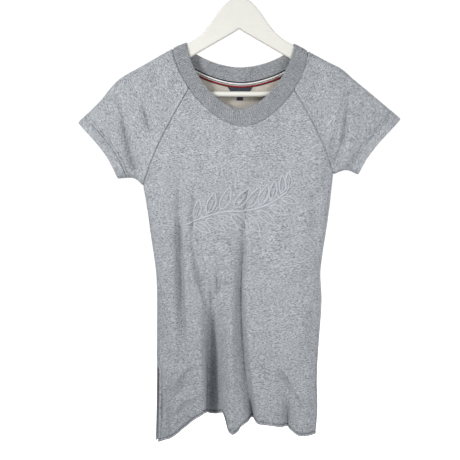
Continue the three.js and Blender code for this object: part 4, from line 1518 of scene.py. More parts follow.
@dataclass
class SprigEmbroidery:
    """Tonal sprig of leaves across the chest, in raised satin strokes."""

    drape: Drape
    stem: tuple[tuple[float, float], ...] = (
        (-106, -512), (-70, -497), (-28, -486), (14, -484), (56, -472), (96, -446)
    )
    upper: tuple[tuple[float, float], ...] = (
        (0.14, 0), (0.3, 0.34), (0.52, 0.47), (0.78, 0.3), (1, 0)
    )
    lower: tuple[tuple[float, float], ...] = (
        (0.14, 0), (0.34, -0.3), (0.58, -0.36), (0.82, -0.2), (1, 0)
    )
    vein: tuple[tuple[float, float], ...] = ((0.0, 0), (0.25, 0), (0.5, 0), (0.72, 0))
    leaves: int = 8
    first: float = 0.07
    last: float = 0.92
    leaf_length: float = 60.0
    leaf_width: float = 22.0
    splay: float = 50.0
    stem_width: float = 4.0
    leaf_stroke: float = 3.2
    vein_stroke: float = 2.2
    bend: float = 3.5
    smallest: float = 0.72
    stagger: float = 0.03
    tip_share: float = 0.985
    tip_size: float = 0.7
    rise: float = 1.9
    sunk: float = 0.5
    step: float = 1.7
    round_within: float = 1.8
    end_size: float = 0.15
    section: tuple[float, ...] = (0, 36, 72, 108, 144, 180, 215, 325)

    def leaf(self, share: float, side: int, size: float) -> list[Stroke]:
        """One leaf that grows from the stem.

        Args:
            share: Where it grows, as a share of the stem's length.
            side: 1 above the stem, -1 below it.
            size: Share of the full size.

        Returns:
            Its upper edge, its lower edge and its vein.
        """
        stem = curve_through(self.stem)
        base = np.array(stem(share))
        ahead = np.array(stem(clamp01(share + 0.01))) - np.array(stem(clamp01(share - 0.01)))
        angle = math.atan2(ahead[1], ahead[0]) + side * math.radians(self.splay)
        run = np.array([math.cos(angle), math.sin(angle)])
        out = np.array([-run[1], run[0]]) * side
        length, width = self.leaf_length * size, self.leaf_width * size

        def at(along: float, off: float) -> tuple[float, float]:
            """Point of the leaf, from its shares along and off its middle."""
            bend = out * -self.bend * math.sin(math.pi * along)
            return tuple(base + run * length * along + out * width * off + bend)

        widths = (self.leaf_stroke, self.leaf_stroke, self.vein_stroke)
        lines = (self.upper, self.lower, self.vein)
        return [
            Stroke(tuple(at(*place) for place in line), stroke)
            for line, stroke in zip(lines, widths)
        ]

    def strokes(self) -> list[Stroke]:
        """All strokes of the sprig: the stem, the pairs of leaves and the tip."""
        strokes = [Stroke(self.stem, self.stem_width)]
        for k in range(self.leaves):
            share = mix(self.first, self.last, k / (self.leaves - 1))
            swell = math.sin(math.pi * min(share * 1.15, 1.0))
            size = self.smallest + (1 - self.smallest) * swell
            for side in (1, -1):
                strokes += self.leaf(share - self.stagger * (side < 0), side, size)
        return strokes + self.leaf(self.tip_share, 1, self.tip_size)

    def tube(self, stroke: Stroke) -> np.ndarray:
        """Rings of a domed stroke that lies on the chest.

        Args:
            stroke: The stroke.

        Returns:
            The rings, their points and coordinates.
        """
        line = curve_through(stroke.points)
        x, z = line(np.linspace(0, 1, 400))
        length = float(np.hypot(np.diff(x), np.diff(z)).sum())
        shares = np.linspace(0, 1, max(int(length / self.step), 6))
        points, normals = self.drape.frame_at(Layer.FRONT, *line(shares))
        runs = unit(np.gradient(points, axis=0))
        sides = np.cross(runs, normals)
        end = np.minimum(shares, 1 - shares) * length
        dome = np.sqrt(clamp01(1 - (1 - clamp01(end / self.round_within)) ** 2))
        size = mix(self.end_size, 1, dome)[:, None, None]
        angles = np.radians(self.section)
        wide = stroke.width / 2 * np.cos(angles)
        high = np.where(np.sin(angles) > 0, self.rise, self.sunk) * np.sin(angles)
        across = sides[:, None] * wide[None, :, None] + normals[:, None] * high[None, :, None]
        return points[:, None] + across * size

    def build(self) -> bpy.types.Object:
        """The sprig as one piece."""
        return ring_tubes("chest_sprig", [self.tube(stroke) for stroke in self.strokes()])


# --- hanger
def bezier(points: Sequence[tuple[float, float]], count: int) -> list[tuple[float, float]]:
    """Points of a Bezier curve of any degree, without its first one."""
    degree = len(points) - 1
    found = []
    for s in (k / count for k in range(1, count + 1)):
        weights = [math.comb(degree, i) * s**i * (1 - s) ** (degree - i) for i in range(degree + 1)]
        found.append(tuple(sum(w * p[k] for w, p in zip(weights, points)) for k in range(2)))
    return found


def level(edge: bmesh.types.BMEdge, axis: int) -> bool:
    """Whether both ends of an edge lie at the same place along an axis."""
    start, end = edge.verts
    return abs(start.co[axis] - end.co[axis]) < SAME


def soften(
    bm: bmesh.types.BMesh, edges: list, width: float, segments: int, clamped: bool = False
) -> None:
    """Rounds edges over a width in millimetres."""
    bmesh.ops.bevel(
        bm, geom=edges, offset=width * MM, segments=segments, profile=0.5, affect="EDGES",
        material=-1, clamp_overlap=clamped,
    )


@dataclass
class Hanger:
    """White hanger: bell arch, sloping arms with a foot at each end, trouser rod and wire hook."""

    crown: float = -72.0
    thick: float = 12.0
    edge: float = 3.0
    arm_start: tuple[float, float] = (97.0, -156.3)
    arm_end: tuple[float, float] = (196.0, -208.2)
    tip: tuple[float, float] = (212.0, -229.0)
    foot: float = -264.0
    socket: float = 184.0
    crotch: float = -130.2
    arch_pull: float = 40.0
    waist_pull: tuple[float, float] = (50.0, -135.0)
    end_pull: tuple[float, float] = (10.0, 5.2)
    corner: float = 10.0
    notch: float = 7.0
    taper: float = 1.06
    rod_radius: float = 5.35
    rod_height: float = -254.7
    wire: float = 2.0
    bow: float = 20.0
    stem: float = 46.0
    ease: float = 4.0
    tip_angle: float = 200.0
    heel_angle: float = -38.0
    sunk: float = 0.3
    blunt: float = 0.05
    rod_sides: int = 48
    rod_round: float = 0.7
    wire_sides: int = 24
    bow_steps: int = 25
    wire_steps: int = 110

    def half_outline(self) -> list[tuple[float, float]]:
        """Right half of the arms' outline.

        Returns:
            Its corners, from under the arch round the end to the crown.
        """
        run, rise = (end - start for start, end in zip(self.arm_start, self.arm_end))

        def under(x: float) -> tuple[float, float]:
            """Point of an arm's lower edge."""
            return x, self.crotch + rise / run * self.taper * x

        end = (self.arm_end[0] + self.end_pull[0], self.arm_end[1] - self.end_pull[1])
        low = (self.tip[0], self.foot)
        heel = (self.tip[0] - self.corner, self.foot)
        arch = [self.arm_start, self.waist_pull, (self.arch_pull, self.crown), (0, self.crown)]
        return [
            *bezier([(0, self.crotch), (self.notch / 2, self.crotch), under(self.notch)], 5),
            under(self.socket),
            (self.socket, self.foot),
            heel,
            *bezier([heel, low, (self.tip[0], self.foot + self.corner)], 7),
            self.tip,
            *bezier([self.tip, end, self.arm_end], 8),
            self.arm_start,
            *bezier(arch, 28),
        ]

    def arms(self) -> bpy.types.Object:
        """Arch and arms, cut from one board with rounded edges.

        Returns:
            The new object.
        """
        right = self.half_outline()
        left = [(-x, z) for x, z in reversed(right[:-1])]
        outline = [(0.0, self.crotch), *right, *left]
        bm = bmesh.new()
        corners = [bm.verts.new((x * MM, -self.thick / 2 * MM, z * MM)) for x, z in outline]
        face = bm.faces.new(corners)
        grown = bmesh.ops.extrude_face_region(bm, geom=[face])["geom"]
        moved = [item for item in grown if isinstance(item, bmesh.types.BMVert)]
        bmesh.ops.translate(bm, verts=moved, vec=(0, self.thick * MM, 0))
        bmesh.ops.recalc_face_normals(bm, faces=bm.faces[:])
        rims = [edge for edge in bm.edges if level(edge, axis=1)]
        soften(bm, rims, self.edge, segments=5, clamped=True)
        bmesh.ops.triangulate(bm, faces=[face for face in bm.faces if len(face.verts) > 4])
        piece = object_from("hanger_arms", bm)
        curved = [abs(polygon.normal.y) <= FLAT for polygon in piece.data.polygons]
        piece.data.polygons.foreach_set("use_smooth", curved)
        return piece

    def rod(self) -> bpy.types.Object:
        """Round rod between the feet.

        Returns:
            The new object.
        """
        bm = bmesh.new()
        turn = Matrix.Rotation(math.pi / 2, 4, "Y")
        place = Matrix.Translation((0, 0, self.rod_height * MM)) @ turn
        radius, depth = self.rod_radius * MM, 2 * (self.socket - SEAM) * MM
        bmesh.ops.create_cone(
            bm, cap_ends=True, segments=self.rod_sides, radius1=radius, radius2=radius,
            depth=depth, matrix=place,
        )
        rims = [edge for edge in bm.edges if level(edge, axis=0)]
        soften(bm, rims, self.rod_round, segments=3)
        return object_from("hanger_rod", bm)

    def hook(self) -> bpy.types.Object:
        """Wire hook with a rounded tip, set on the crown of the arch.

        Returns:
            The new object.
        """
        centre = self.wire - self.bow
        bow = [
            (self.bow * math.cos(angle), centre + self.bow * math.sin(angle))
            for angle in np.radians(np.linspace(self.tip_angle, self.heel_angle, self.bow_steps))
        ]
        foot = self.crown + self.sunk
        rest = [
            (self.ease, -self.stem + self.ease),
            (0, -self.stem - self.ease),
            (0, (foot - self.stem) / 2),
            (0, foot),
        ]
        line = curve_through([*bow, *rest], samples=20)
        x, z = line(np.linspace(0, 1, 4001))
        length = float(np.hypot(np.diff(x), np.diff(z)).sum())
        round_end = self.wire * (1 - np.cos(np.linspace(0, np.pi / 2, 7)))
        rest_steps = np.linspace(1.5 * self.wire, length, self.wire_steps)
        shares = np.concatenate([round_end, rest_steps]) / length
        x, z = line(shares)
        points = np.stack([x, np.zeros_like(x), z], -1)
        runs = unit(np.gradient(points, axis=0))
        sides = np.array([0.0, 1.0, 0.0])
        outs = np.cross(runs, sides)
        from_tip = clamp01(shares * length / self.wire)
        radius = (self.wire * np.sqrt(1 - (1 - from_tip) ** 2)).clip(self.blunt)
        angles = np.linspace(0, 2 * np.pi, self.wire_sides, endpoint=False)
        around = (
            outs[:, None] * np.cos(angles)[None, :, None]
            + sides[None, None] * np.sin(angles)[None, :, None]
        )
        rings = points[:, None] + around * radius[:, None, None]
        return ring_tubes("hanger_hook_wire", [rings])


# --- materials
Socket = bpy.types.NodeSocket
Value = Union[Socket, float, tuple]
Colour = tuple[int, int, int]


class Nodes:
    """Adds nodes to a node tree and links them."""

    def __init__(self, tree: bpy.types.NodeTree) -> None:
        """Keeps the tree and empties it."""
        self.tree = tree
        tree.nodes.clear()

    def add(self, kind: str, inputs: dict | None = None, **settings: object) -> bpy.types.Node:
        """New node.

        Args:
            kind: Blender's name of the node's type.
            inputs: Value or source socket for each input, by name or number.
            settings: Settings of the node.

        Returns:
            The node.
        """
        node = self.tree.nodes.new(kind)
        for key, value in settings.items():
            setattr(node, key, value)
        for key, value in (inputs or {}).items():
            if isinstance(value, Socket):
                self.tree.links.new(value, node.inputs[key])
            else:
                node.inputs[key].default_value = value
        return node

    def maths(self, operation: str, a: Value, b: Value = 0.0, c: Value = 0.0) -> Socket:
        """Result of a Math node."""
        return self.add("ShaderNodeMath", {0: a, 1: b, 2: c}, operation=operation).outputs[0]

    def fitted(self, value: Value, factor: Value, start: Value) -> Socket:
        """A value times a factor, plus a start."""
        return self.maths("MULTIPLY_ADD", value, factor, start)

    def wave(self, place: Value, pitch: float) -> Socket:
        """Sine of a place, whose waves are a pitch long."""
        return self.maths("SINE", self.maths("MULTIPLY", place, 2 * math.pi / pitch))

    def noise(
        self, vector: Socket, scale: tuple[float, ...], detail: float, roughness: float
    ) -> Socket:
        """Grey noise with a scale for each direction.

        Args:
            vector: Place that it is read at.
            scale: Grains in a metre, along each direction.
            detail: Octaves of finer noise on top.
            roughness: Strength of each octave against the one before.

        Returns:
            Its value, around a half.
        """
        stretch = {0: vector, 1: scale}
        place = self.add("ShaderNodeVectorMath", stretch, operation="MULTIPLY").outputs[0]
        inputs = {"Vector": place, "Scale": 1.0, "Detail": detail, "Roughness": roughness}
        return self.add("ShaderNodeTexNoise", inputs).outputs[0]

    def mixed(self, factor: Value, a: Value, b: Value, blend: str = "MIX") -> Socket:
        """Mix of two colours, or of a colour and a value."""
        inputs = {0: factor, 6: a, 7: b}
        return self.add("ShaderNodeMix", inputs, data_type="RGBA", blend_type=blend).outputs[2]


class EffectGroup:
    """Shader node group that is built once and placed in several materials."""

    name = "effect"
    inputs: dict[str, tuple[str, float | None]] = {}
    outputs: tuple[str, ...] = ()

    def fill(self, nodes: Nodes, source: bpy.types.Node, target: bpy.types.Node) -> None:
        """Links the group's inside.

        Args:
            nodes: The group's nodes.
            source: Its input node.
            target: Its output node.
        """
        raise NotImplementedError

    def tree(self) -> bpy.types.NodeTree:
        """The group's node tree, made on first use.

        Returns:
            The tree.
        """
        found = bpy.data.node_groups.get(self.name)
        if found:
            return found
        tree = bpy.data.node_groups.new(self.name, "ShaderNodeTree")
        for name, (kind, value) in self.inputs.items():
            socket = tree.interface.new_socket(name, in_out="INPUT", socket_type=kind)
            if value is not None:
                socket.default_value = value
        for name in self.outputs:
            tree.interface.new_socket(name, in_out="OUTPUT", socket_type="NodeSocketFloat")
        nodes = Nodes(tree)
        self.fill(nodes, nodes.add("NodeGroupInput"), nodes.add("NodeGroupOutput"))
        return tree

    def place(self, nodes: Nodes, **inputs: Value) -> bpy.types.NodeOutputs:
        """Places the group in a material with its own values, and gives its outputs."""
        return nodes.add("ShaderNodeGroup", inputs, node_tree=self.tree()).outputs


class Heather(EffectGroup):
    """Flecks and fibres of a mixed grey yarn: a tone around 1 and a height around a half."""

    name = "heather_yarn"
    inputs = {
        "Vector": ("NodeSocketVector", None),
        "Fleck": ("NodeSocketFloat", 0.5),
        "Fibre": ("NodeSocketFloat", 0.3),
        "Cloud": ("NodeSocketFloat", 0.08),
    }
    outputs = ("Tone", "Height")
    FLECKS = (215.0, 215.0, 800.0)
    FIBRES = (450.0, 450.0, 1450.0)
    CLOUDS = (26.0, 26.0, 44.0)
    DARKEST = 0.2
    FIBRE_RISE = 0.6
    FLECK_RISE = 0.4

    def fill(self, nodes: Nodes, source: bpy.types.Node, target: bpy.types.Node) -> None:
        """Three sizes of streaked noise added up."""
        vector = source.outputs["Vector"]
        fleck = nodes.noise(vector, self.FLECKS, 1.0, 0.6)
        fibre = nodes.noise(vector, self.FIBRES, 1.0, 0.6)
        cloud = nodes.noise(vector, self.CLOUDS, 2.0, 0.5)
        total = 1.0
        for noise, amount in ((fleck, "Fleck"), (fibre, "Fibre"), (cloud, "Cloud")):
            total = nodes.fitted(nodes.fitted(noise, 2.0, -1.0), source.outputs[amount], total)
        tone = nodes.maths("MAXIMUM", total, self.DARKEST)
        rise = nodes.maths("MULTIPLY", fleck, self.FLECK_RISE)
        nodes.tree.links.new(tone, target.inputs["Tone"])
        nodes.tree.links.new(nodes.fitted(fibre, self.FIBRE_RISE, rise), target.inputs["Height"])


class Knit(EffectGroup):
    """Height of plain knit: columns of small V shaped loops on a piece's own UV map."""

    name = "plain_knit"
    inputs = {
        "UV": ("NodeSocketVector", None),
        "Wale": ("NodeSocketFloat", 0.0011),
        "Course": ("NodeSocketFloat", 0.0008),
    }
    outputs = ("Height",)
    LEAN = 0.6
    LOOP = (0.35, 0.65)

    def fill(self, nodes: Nodes, source: bpy.types.Node, target: bpy.types.Node) -> None:
        """Loops that lean towards the middle of each column."""
        split = nodes.add("ShaderNodeSeparateXYZ", {0: source.outputs["UV"]}).outputs
        wale = nodes.maths("DIVIDE", split[0], source.outputs["Wale"])
        course = nodes.maths("DIVIDE", split[1], source.outputs["Course"])
        off = nodes.maths("ABSOLUTE", nodes.fitted(nodes.maths("FRACT", wale), 2.0, -1.0))
        lean = nodes.maths("ADD", course, nodes.maths("MULTIPLY", off, self.LEAN))
        loop = nodes.fitted(nodes.wave(lean, 1.0), *self.LOOP)
        height = nodes.maths("MULTIPLY", nodes.wave(off, 2.0), loop)
        nodes.tree.links.new(height, target.inputs["Height"])


HEATHER = Heather()
KNIT = Knit()


def linear(colour: Colour) -> tuple[float, float, float, float]:
    """Linear colour, with full alpha, from an sRGB colour of 0 to 255."""
    parts = (value / 255 for value in colour)
    found = [part / 12.92 if part <= 0.04045 else ((part + 0.055) / 1.055) ** 2.4 for part in parts]
    return found[0], found[1], found[2], 1.0


class Surface:
    """Material with its Principled shader, for a finish to dress."""

    def __init__(self, name: str) -> None:
        """Starts the material, with its name."""
        self.material = bpy.data.materials.new(name)
        self.material.use_nodes = True
        self.nodes = Nodes(self.material.node_tree)
        self.shader = self.nodes.add("ShaderNodeBsdfPrincipled")
        output = self.nodes.add("ShaderNodeOutputMaterial", {"Surface": self.shader.outputs[0]})
        output.is_active_output = True
        place = self.nodes.add("ShaderNodeTexCoord").outputs
        self.in_space, self.on_cloth = place["Object"], place["UV"]

    def settle(self, values: dict) -> None:
        """Gives the shader's sockets their plain values, by name."""
        for name, value in values.items():
            self.shader.inputs[name].default_value = value

    def feed(self, name: str, source: Socket) -> None:
        """Links a source to one of the shader's sockets."""
        self.nodes.tree.links.new(source, self.shader.inputs[name])

    def tint(self, colour: Value, shade: Value) -> None:
        """Sets the base colour to a linear colour times a shade."""
        self.feed("Base Color", self.nodes.mixed(1.0, colour, shade, "MULTIPLY"))

    def relief(self, height: Socket, strength: float, distance: float) -> None:
        """Sets the bump from a height, its strength and its depth in metres."""
        inputs = {"Strength": strength, "Distance": distance, "Height": height}
        self.feed("Normal", self.nodes.add("ShaderNodeBump", inputs).outputs[0])

    def along(self) -> bpy.types.NodeOutputs:
        """Coordinates of the piece's own UV map, one by one."""
        return self.nodes.add("ShaderNodeSeparateXYZ", {0: self.on_cloth}).outputs


class Finish:
    """Look of a material: each one is a frozen dataclass, whose name the material takes."""

    name: str

    def dress(self, surface: Surface, nodes: Nodes) -> None:
        """Settles the surface's shader and links its nodes."""
        raise NotImplementedError

    def build(self) -> bpy.types.Material:
        """New material with this finish."""
        surface = Surface(self.name)
        self.dress(surface, surface.nodes)
        return surface.material


@dataclass(frozen=True)
class FleeceFinish(Finish):
    """Heather grey knit, with a nap that catches the light at grazing angles."""

    name: str
    colour: Colour
    tilt: float = 0.0
    fleck: float = 1.0
    fibre: float = 1.2
    cloud: float = 0.1
    sheen: float = 0.1
    sheen_roughness: float = 0.55
    roughness: float = 0.95
    gloss: float = 0.12
    loops: float = 0.45
    bump: float = 0.55
    depth: float = 0.0005

    def dress(self, surface: Surface, nodes: Nodes) -> None:
        """Knit in heather yarn, turned with the cut of the piece."""
        surface.settle({"Roughness": self.roughness, "Specular IOR Level": self.gloss})
        surface.settle({"Sheen Weight": self.sheen, "Sheen Roughness": self.sheen_roughness})
        turn = {"Vector": surface.in_space, "Rotation": (0.0, self.tilt, 0.0)}
        turned = nodes.add("ShaderNodeMapping", turn).outputs[0]
        amounts = {"Fleck": self.fleck, "Fibre": self.fibre, "Cloud": self.cloud}
        yarn = HEATHER.place(nodes, Vector=turned, **amounts)
        knit = KNIT.place(nodes, UV=surface.on_cloth)
        surface.tint(linear(self.colour), yarn["Tone"])
        height = nodes.fitted(knit["Height"], self.loops, yarn["Height"])
        surface.relief(height, self.bump, self.depth)


@dataclass(frozen=True)
class LoopbackFinish(Finish):
    """Brushed inside of the fleece: warm pale loops."""

    name: str = "brushed_inside"
    colour: Colour = (204, 198, 188)
    sheen: float = 0.3
    gloss: float = 0.1
    wale: float = 0.0016
    course: float = 0.0022
    loops: float = 0.5
    bump: float = 0.8
    depth: float = 0.0009

    def dress(self, surface: Surface, nodes: Nodes) -> None:
        """Wide loops in a paler yarn."""
        surface.settle({"Roughness": 1.0, "Specular IOR Level": self.gloss})
        surface.settle({"Sheen Weight": self.sheen})
        yarn = HEATHER.place(nodes, Vector=surface.in_space, Fleck=0.22, Fibre=0.3, Cloud=0.1)
        loops = KNIT.place(nodes, UV=surface.on_cloth, Wale=self.wale, Course=self.course)
        surface.tint(linear(self.colour), yarn["Tone"])
        height = nodes.fitted(loops["Height"], self.loops, yarn["Height"])
        surface.relief(height, self.bump, self.depth)


@dataclass(frozen=True)
class ThreadFinish(Finish):
    """Twisted or satin thread, whose strands run across a stroke."""

    name: str
    colour: Colour
    pitch: float = 0.00045
    lean: float = 0.25
    roughness: float = 0.55
    sheen: float = 0.15
    gloss: float = 0.35
    bump: float = 0.5
    depth: float = 0.00015

    def dress(self, surface: Surface, nodes: Nodes) -> None:
        """Strands in a yarn with few flecks."""
        surface.settle({"Roughness": self.roughness, "Specular IOR Level": self.gloss})
        surface.settle({"Sheen Weight": self.sheen})
        yarn = HEATHER.place(nodes, Vector=surface.in_space, Fleck=0.2, Fibre=0.2, Cloud=0.05)
        across, along = surface.along()[:2]
        surface.tint(linear(self.colour), yarn["Tone"])
        strand = nodes.wave(nodes.fitted(across, self.lean, along), self.pitch)
        surface.relief(strand, self.bump, self.depth)


class Stripe(NamedTuple):
    """Stripe of the tape: where it starts across the tape, as a share, and its colour."""

    start: float
    colour: Colour


@dataclass(frozen=True)
class TapeFinish(Finish):
    """Twill tape with a white and a red line on navy."""

    name: str = "striped_tape"
    width: float = 0.012
    stripes: tuple[Stripe, ...] = (
        Stripe(0.0, (20, 23, 40)),
        Stripe(0.18, (244, 244, 242)),
        Stripe(0.38, (20, 23, 40)),
        Stripe(0.54, (140, 16, 26)),
        Stripe(0.8, (20, 23, 40)),
    )
    twill: float = 0.0009
    shade: float = 0.08
    bump: float = 0.6
    depth: float = 0.0002

    def dress(self, surface: Surface, nodes: Nodes) -> None:
        """Stripes across the tape, in twill."""
        surface.settle({"Roughness": 0.8, "Sheen Weight": 0.1})
        across, along = surface.along()[:2]
        ramp = nodes.add("ShaderNodeValToRGB", {0: nodes.maths("DIVIDE", across, self.width)})
        ramp.color_ramp.interpolation = "CONSTANT"
        elements = ramp.color_ramp.elements
        for k, stripe in enumerate(self.stripes):
            element = elements[k] if k < len(elements) else elements.new(stripe.start)
            element.position = stripe.start
            element.color = linear(stripe.colour)
        rib = nodes.wave(nodes.maths("ADD", across, along), self.twill)
        surface.tint(ramp.outputs[0], nodes.fitted(rib, self.shade, 1.0))
        surface.relief(rib, self.bump, self.depth)


@dataclass(frozen=True)
class LabelFinish(Finish):
    """Woven satin label, navy and bare."""

    name: str = "navy_satin"
    colour: Colour = (30, 35, 56)
    weft: float = 0.0005
    warp: float = 0.0009
    shade: float = 0.08
    bump: float = 0.4
    depth: float = 0.00015

    def dress(self, surface: Surface, nodes: Nodes) -> None:
        """Plain colour in a fine weave."""
        surface.settle({"Roughness": 0.5, "Sheen Weight": 0.15, "Anisotropic": 0.3})
        across, along = surface.along()[:2]
        weft, warp = nodes.wave(across, self.weft), nodes.wave(along, self.warp)
        weave = nodes.fitted(warp, 0.5, weft)
        surface.tint(linear(self.colour), nodes.fitted(weave, self.shade, 1.0))
        surface.relief(weave, self.bump, self.depth)


@dataclass(frozen=True)
class LacquerFinish(Finish):
    """White lacquer over wood, whose grain still shows a little."""

    name: str = "white_lacquer"
    colour: Colour = (238, 237, 231)
    worn: Colour = (226, 222, 210)
    roughness: float = 0.34
    rough_swing: float = 0.14
    coat: float = 0.25
    grain: tuple[float, float, float] = (14.0, 300.0, 300.0)
    patch: tuple[float, float, float] = (30.0, 30.0, 30.0)
    bump: float = 0.25
    depth: float = 0.0002

    def dress(self, surface: Surface, nodes: Nodes) -> None:
        """Lacquer that is worn in patches."""
        surface.settle({"Coat Roughness": 0.2, "Specular IOR Level": 0.45})
        surface.settle({"Coat Weight": self.coat})
        grain = nodes.noise(surface.in_space, self.grain, 4.0, 0.6)
        patch = nodes.noise(surface.in_space, self.patch, 2.0, 0.5)
        tone = nodes.fitted(nodes.maths("MULTIPLY", grain, patch), 1.1, -0.05)
        surface.feed("Base Color", nodes.mixed(tone, linear(self.colour), linear(self.worn)))
        smoothest = self.roughness - self.rough_swing / 2
        surface.feed("Roughness", nodes.fitted(patch, self.rough_swing, smoothest))
        surface.relief(grain, self.bump, self.depth)


@dataclass(frozen=True)
class SteelFinish(Finish):
    """Bright plated wire with fine drawing marks."""

    name: str = "bright_wire"
    colour: Colour = (206, 208, 211)
    marks: tuple[float, float, float] = (2600.0, 90.0, 1.0)
    swing: float = 0.2
    roughness: float = 0.16
    bump: float = 0.15
    depth: float = 0.0001

    def dress(self, surface: Surface, nodes: Nodes) -> None:
        """Marks along the wire."""
        surface.settle({"Metallic": 1.0})
        marks = nodes.noise(surface.on_cloth, self.marks, 3.0, 0.6)
        surface.tint(linear(self.colour), nodes.fitted(marks, self.swing, 0.9))
        surface.feed("Roughness", nodes.fitted(marks, self.swing, self.roughness))
        surface.relief(marks, self.bump, self.depth)


@dataclass(frozen=True)
class FloorFinish(Finish):
    """Plain pale floor with a faint mottle."""

    name: str = "pale_floor"
    colour: Colour = (250, 250, 250)
    mottle: float = 0.01
    lift: float = 0.9

    def dress(self, surface: Surface, nodes: Nodes) -> None:
        """Mottle, lifted to white where the camera sees it."""
        surface.settle({"Roughness": 0.9, "Emission Color": (1.0, 1.0, 1.0, 1.0)})
        mottle = nodes.noise(surface.in_space, (3.0, 3.0, 3.0), 3.0, 0.5)
        surface.tint(linear(self.colour), nodes.fitted(mottle, self.mottle, 1.0 - self.mottle))
        seen = nodes.add("ShaderNodeLightPath").outputs["Is Camera Ray"]
        surface.feed("Emission Strength", nodes.maths("MULTIPLY", seen, self.lift))


# --- studio
class Softbox(NamedTuple):
    """Square area light: place, target, side in metres, power in watts and beam in degrees."""

    name: str
    place: tuple[float, float, float]
    target: tuple[float, float, float]
    size: float
    power: float
    beam: float


@dataclass
class Studio:
    """Camera, soft lights, pale surroundings and floor."""

    camera_place: tuple[float, float, float] = (-0.0183, -1.1883, -0.3599)
    camera_pitch: float = 82.0
    lens: float = 45.8
    sensor: float = 36.0
    floor_drop: float = 0.45
    floor_reach: float = 9.0
    floor_sides: int = 64
    surround: float = 0.29
    backdrop: float = 1.02
    lights: tuple[Softbox, ...] = (
        Softbox("key", (-1.1, -1.08, 0.2), (0.12, 0.0, -0.46), 0.4, 3.85, 80.0),
        Softbox("side", (1.7, -0.6, -0.3), (0.0, 0.0, -0.5), 0.9, 2.7, 180.0),
        Softbox("fill", (0.85, -1.5, -0.45), (0.15, 0.0, -0.62), 0.8, 2.45, 80.0),
        Softbox("rim", (1.25, 1.2, 0.3), (0.0, 0.0, -0.5), 0.6, 26.0, 180.0),
    )

    def camera(self) -> None:
        """Camera in front of the dress, a little above its middle."""
        data = bpy.data.cameras.new("camera")
        data.lens = self.lens
        data.sensor_width = self.sensor
        camera = bpy.data.objects.new("camera", data)
        camera.location = self.camera_place
        camera.rotation_euler = (math.radians(self.camera_pitch), 0.0, 0.0)
        bpy.context.scene.collection.objects.link(camera)
        bpy.context.scene.camera = camera

    def light(self, box: Softbox) -> None:
        """One soft light."""
        data = bpy.data.lights.new(box.name, "AREA")
        data.size = box.size
        data.energy = box.power
        data.spread = math.radians(box.beam)
        light = bpy.data.objects.new(box.name, data)
        light.location = box.place
        away = Vector(box.target) - Vector(box.place)
        light.rotation_euler = away.to_track_quat("-Z", "Y").to_euler()
        bpy.context.scene.collection.objects.link(light)

    def world(self) -> None:
        """Surroundings that look white and light the cloth evenly."""
        world = bpy.data.worlds.new("surroundings")
        world.use_nodes = True
        bpy.context.scene.world = world
        nodes = Nodes(world.node_tree)
        seen = nodes.add("ShaderNodeLightPath").outputs["Is Camera Ray"]
        more = self.backdrop - self.surround
        strength = nodes.maths("MULTIPLY_ADD", seen, more, self.surround)
        white = {"Color": (1.0, 1.0, 1.0, 1.0), "Strength": strength}
        back = nodes.add("ShaderNodeBackground", white)
        nodes.add("ShaderNodeOutputWorld", {"Surface": back.outputs[0]})

    def floor(self) -> None:
        """Floor under the dress."""
        bm = bmesh.new()
        place = Matrix.Translation((0.0, 0.0, CAD_BOX[0][2] - self.floor_drop))
        bmesh.ops.create_circle(
            bm, cap_ends=True, segments=self.floor_sides, radius=self.floor_reach, matrix=place
        )
        floor = object_from("studio_floor", bm)
        floor.data.materials.append(FloorFinish().build())

    def build(self) -> None:
        """Sets everything up."""
        bpy.context.scene.view_settings.view_transform = "Standard"
        self.camera()
        self.world()
        self.floor()
        for box in self.lights:
            self.light(box)


# --- assembly
class Flat(NamedTuple):
    """Flat cut of a piece of cloth: width and length in metres, and area in square metres."""

    width: float
    length: float
    area: float


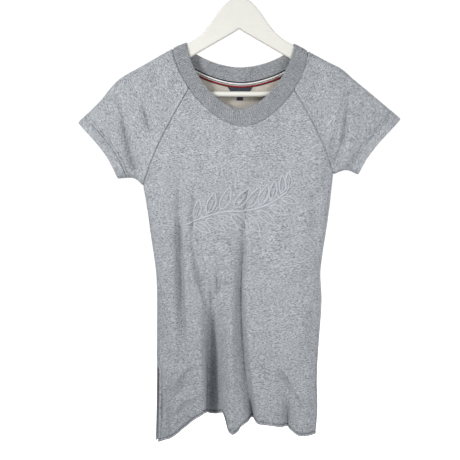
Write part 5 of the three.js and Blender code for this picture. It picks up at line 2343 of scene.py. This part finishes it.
@dataclass
class Dress:
    """The dress: panels, sleeves, neck and their stitches."""

    drape: Drape
    fleece: FleeceFinish = FleeceFinish("heather_fleece", (168, 172, 177))
    rib_finish: FleeceFinish = FleeceFinish("heather_rib", (148, 151, 155), fleck=0.7, fibre=0.9)
    stitching: ThreadFinish = ThreadFinish("grey_thread", (86, 88, 93))
    satin: ThreadFinish = ThreadFinish("satin_thread", (198, 201, 207))

    def cloth(
        self,
        name: str,
        cut_piece: "BodyPanel | Sleeve",
        finish: FleeceFinish,
        loopback: bpy.types.Material,
        thread: bpy.types.Material,
    ) -> None:
        """Builds one piece of fleece and its stitches.

        Args:
            name: Name of the piece.
            cut_piece: What it is cut to.
            finish: Finish of its outer face.
            loopback: Material of its inner face.
            thread: Material of its stitches.
        """
        grid, stitches = cut_piece.grid(), Stitches()
        cut_piece.sew(grid, stitches)
        piece = grid.build(name, cut_piece.turned)
        thicken(piece, WALL, inner_slot=1)
        fleece = finish.build()
        finish_piece(piece, [fleece, loopback, fleece, fleece], [cut_piece.node])
        sewn = stitches.build(name.replace("cloth", "stitches"))
        finish_piece(sewn, [thread])

    def build(self) -> None:
        """Builds and dresses every piece of the dress."""
        loopback = LoopbackFinish().build()
        thread = self.stitching.build()
        front = BodyPanel(
            self.drape, Layer.FRONT, "front_panel", FRONT_FOLDS, columns=142, lower_rows=172
        )
        back = BodyPanel(self.drape, Layer.BACK, "back_panel", BACK_FOLDS)
        self.cloth("front_cloth", front, self.fleece, loopback, thread)
        self.cloth("back_cloth", back, self.fleece, loopback, thread)
        for side in Side:
            label = side.name.lower()
            sleeve = Sleeve(self.drape, side, f"sleeve_{label}")
            finish = FleeceFinish(f"heather_fleece_{label}", self.fleece.colour, tilt=sleeve.tilt())
            self.cloth(f"sleeve_{label}_cloth", sleeve, finish, loopback, thread)
        rib = NeckRib(self.drape)
        band = finish_piece(rib.build(), [self.rib_finish.build()], [rib.node])
        trim = BackNeckTrim(self.drape)
        bare = LabelFinish().build()
        finish_piece(trim.tape().build(), [TapeFinish().build()], ["neck_tape"])
        finish_piece(trim.label().build(), [bare], ["neck_label"])
        finish_piece(trim.small_label().build(), [bare], ["size_label"])
        sprig = SprigEmbroidery(self.drape).build()
        finish_piece(sprig, [self.satin.build()])


def main() -> None:
    """Builds the hanger, the dress and the studio."""
    logging.basicConfig(level=logging.INFO, format="%(message)s")
    Studio().build()
    hanger = Hanger()
    lacquer = LacquerFinish().build()
    finish_piece(hanger.arms(), [lacquer], ["hanger_body"])
    finish_piece(hanger.rod(), [lacquer], ["hanger_bar"])
    finish_piece(hanger.hook(), [SteelFinish().build()], ["hanger_hook"])
    Dress(Drape()).build()


if __name__ == "__main__":
    main()
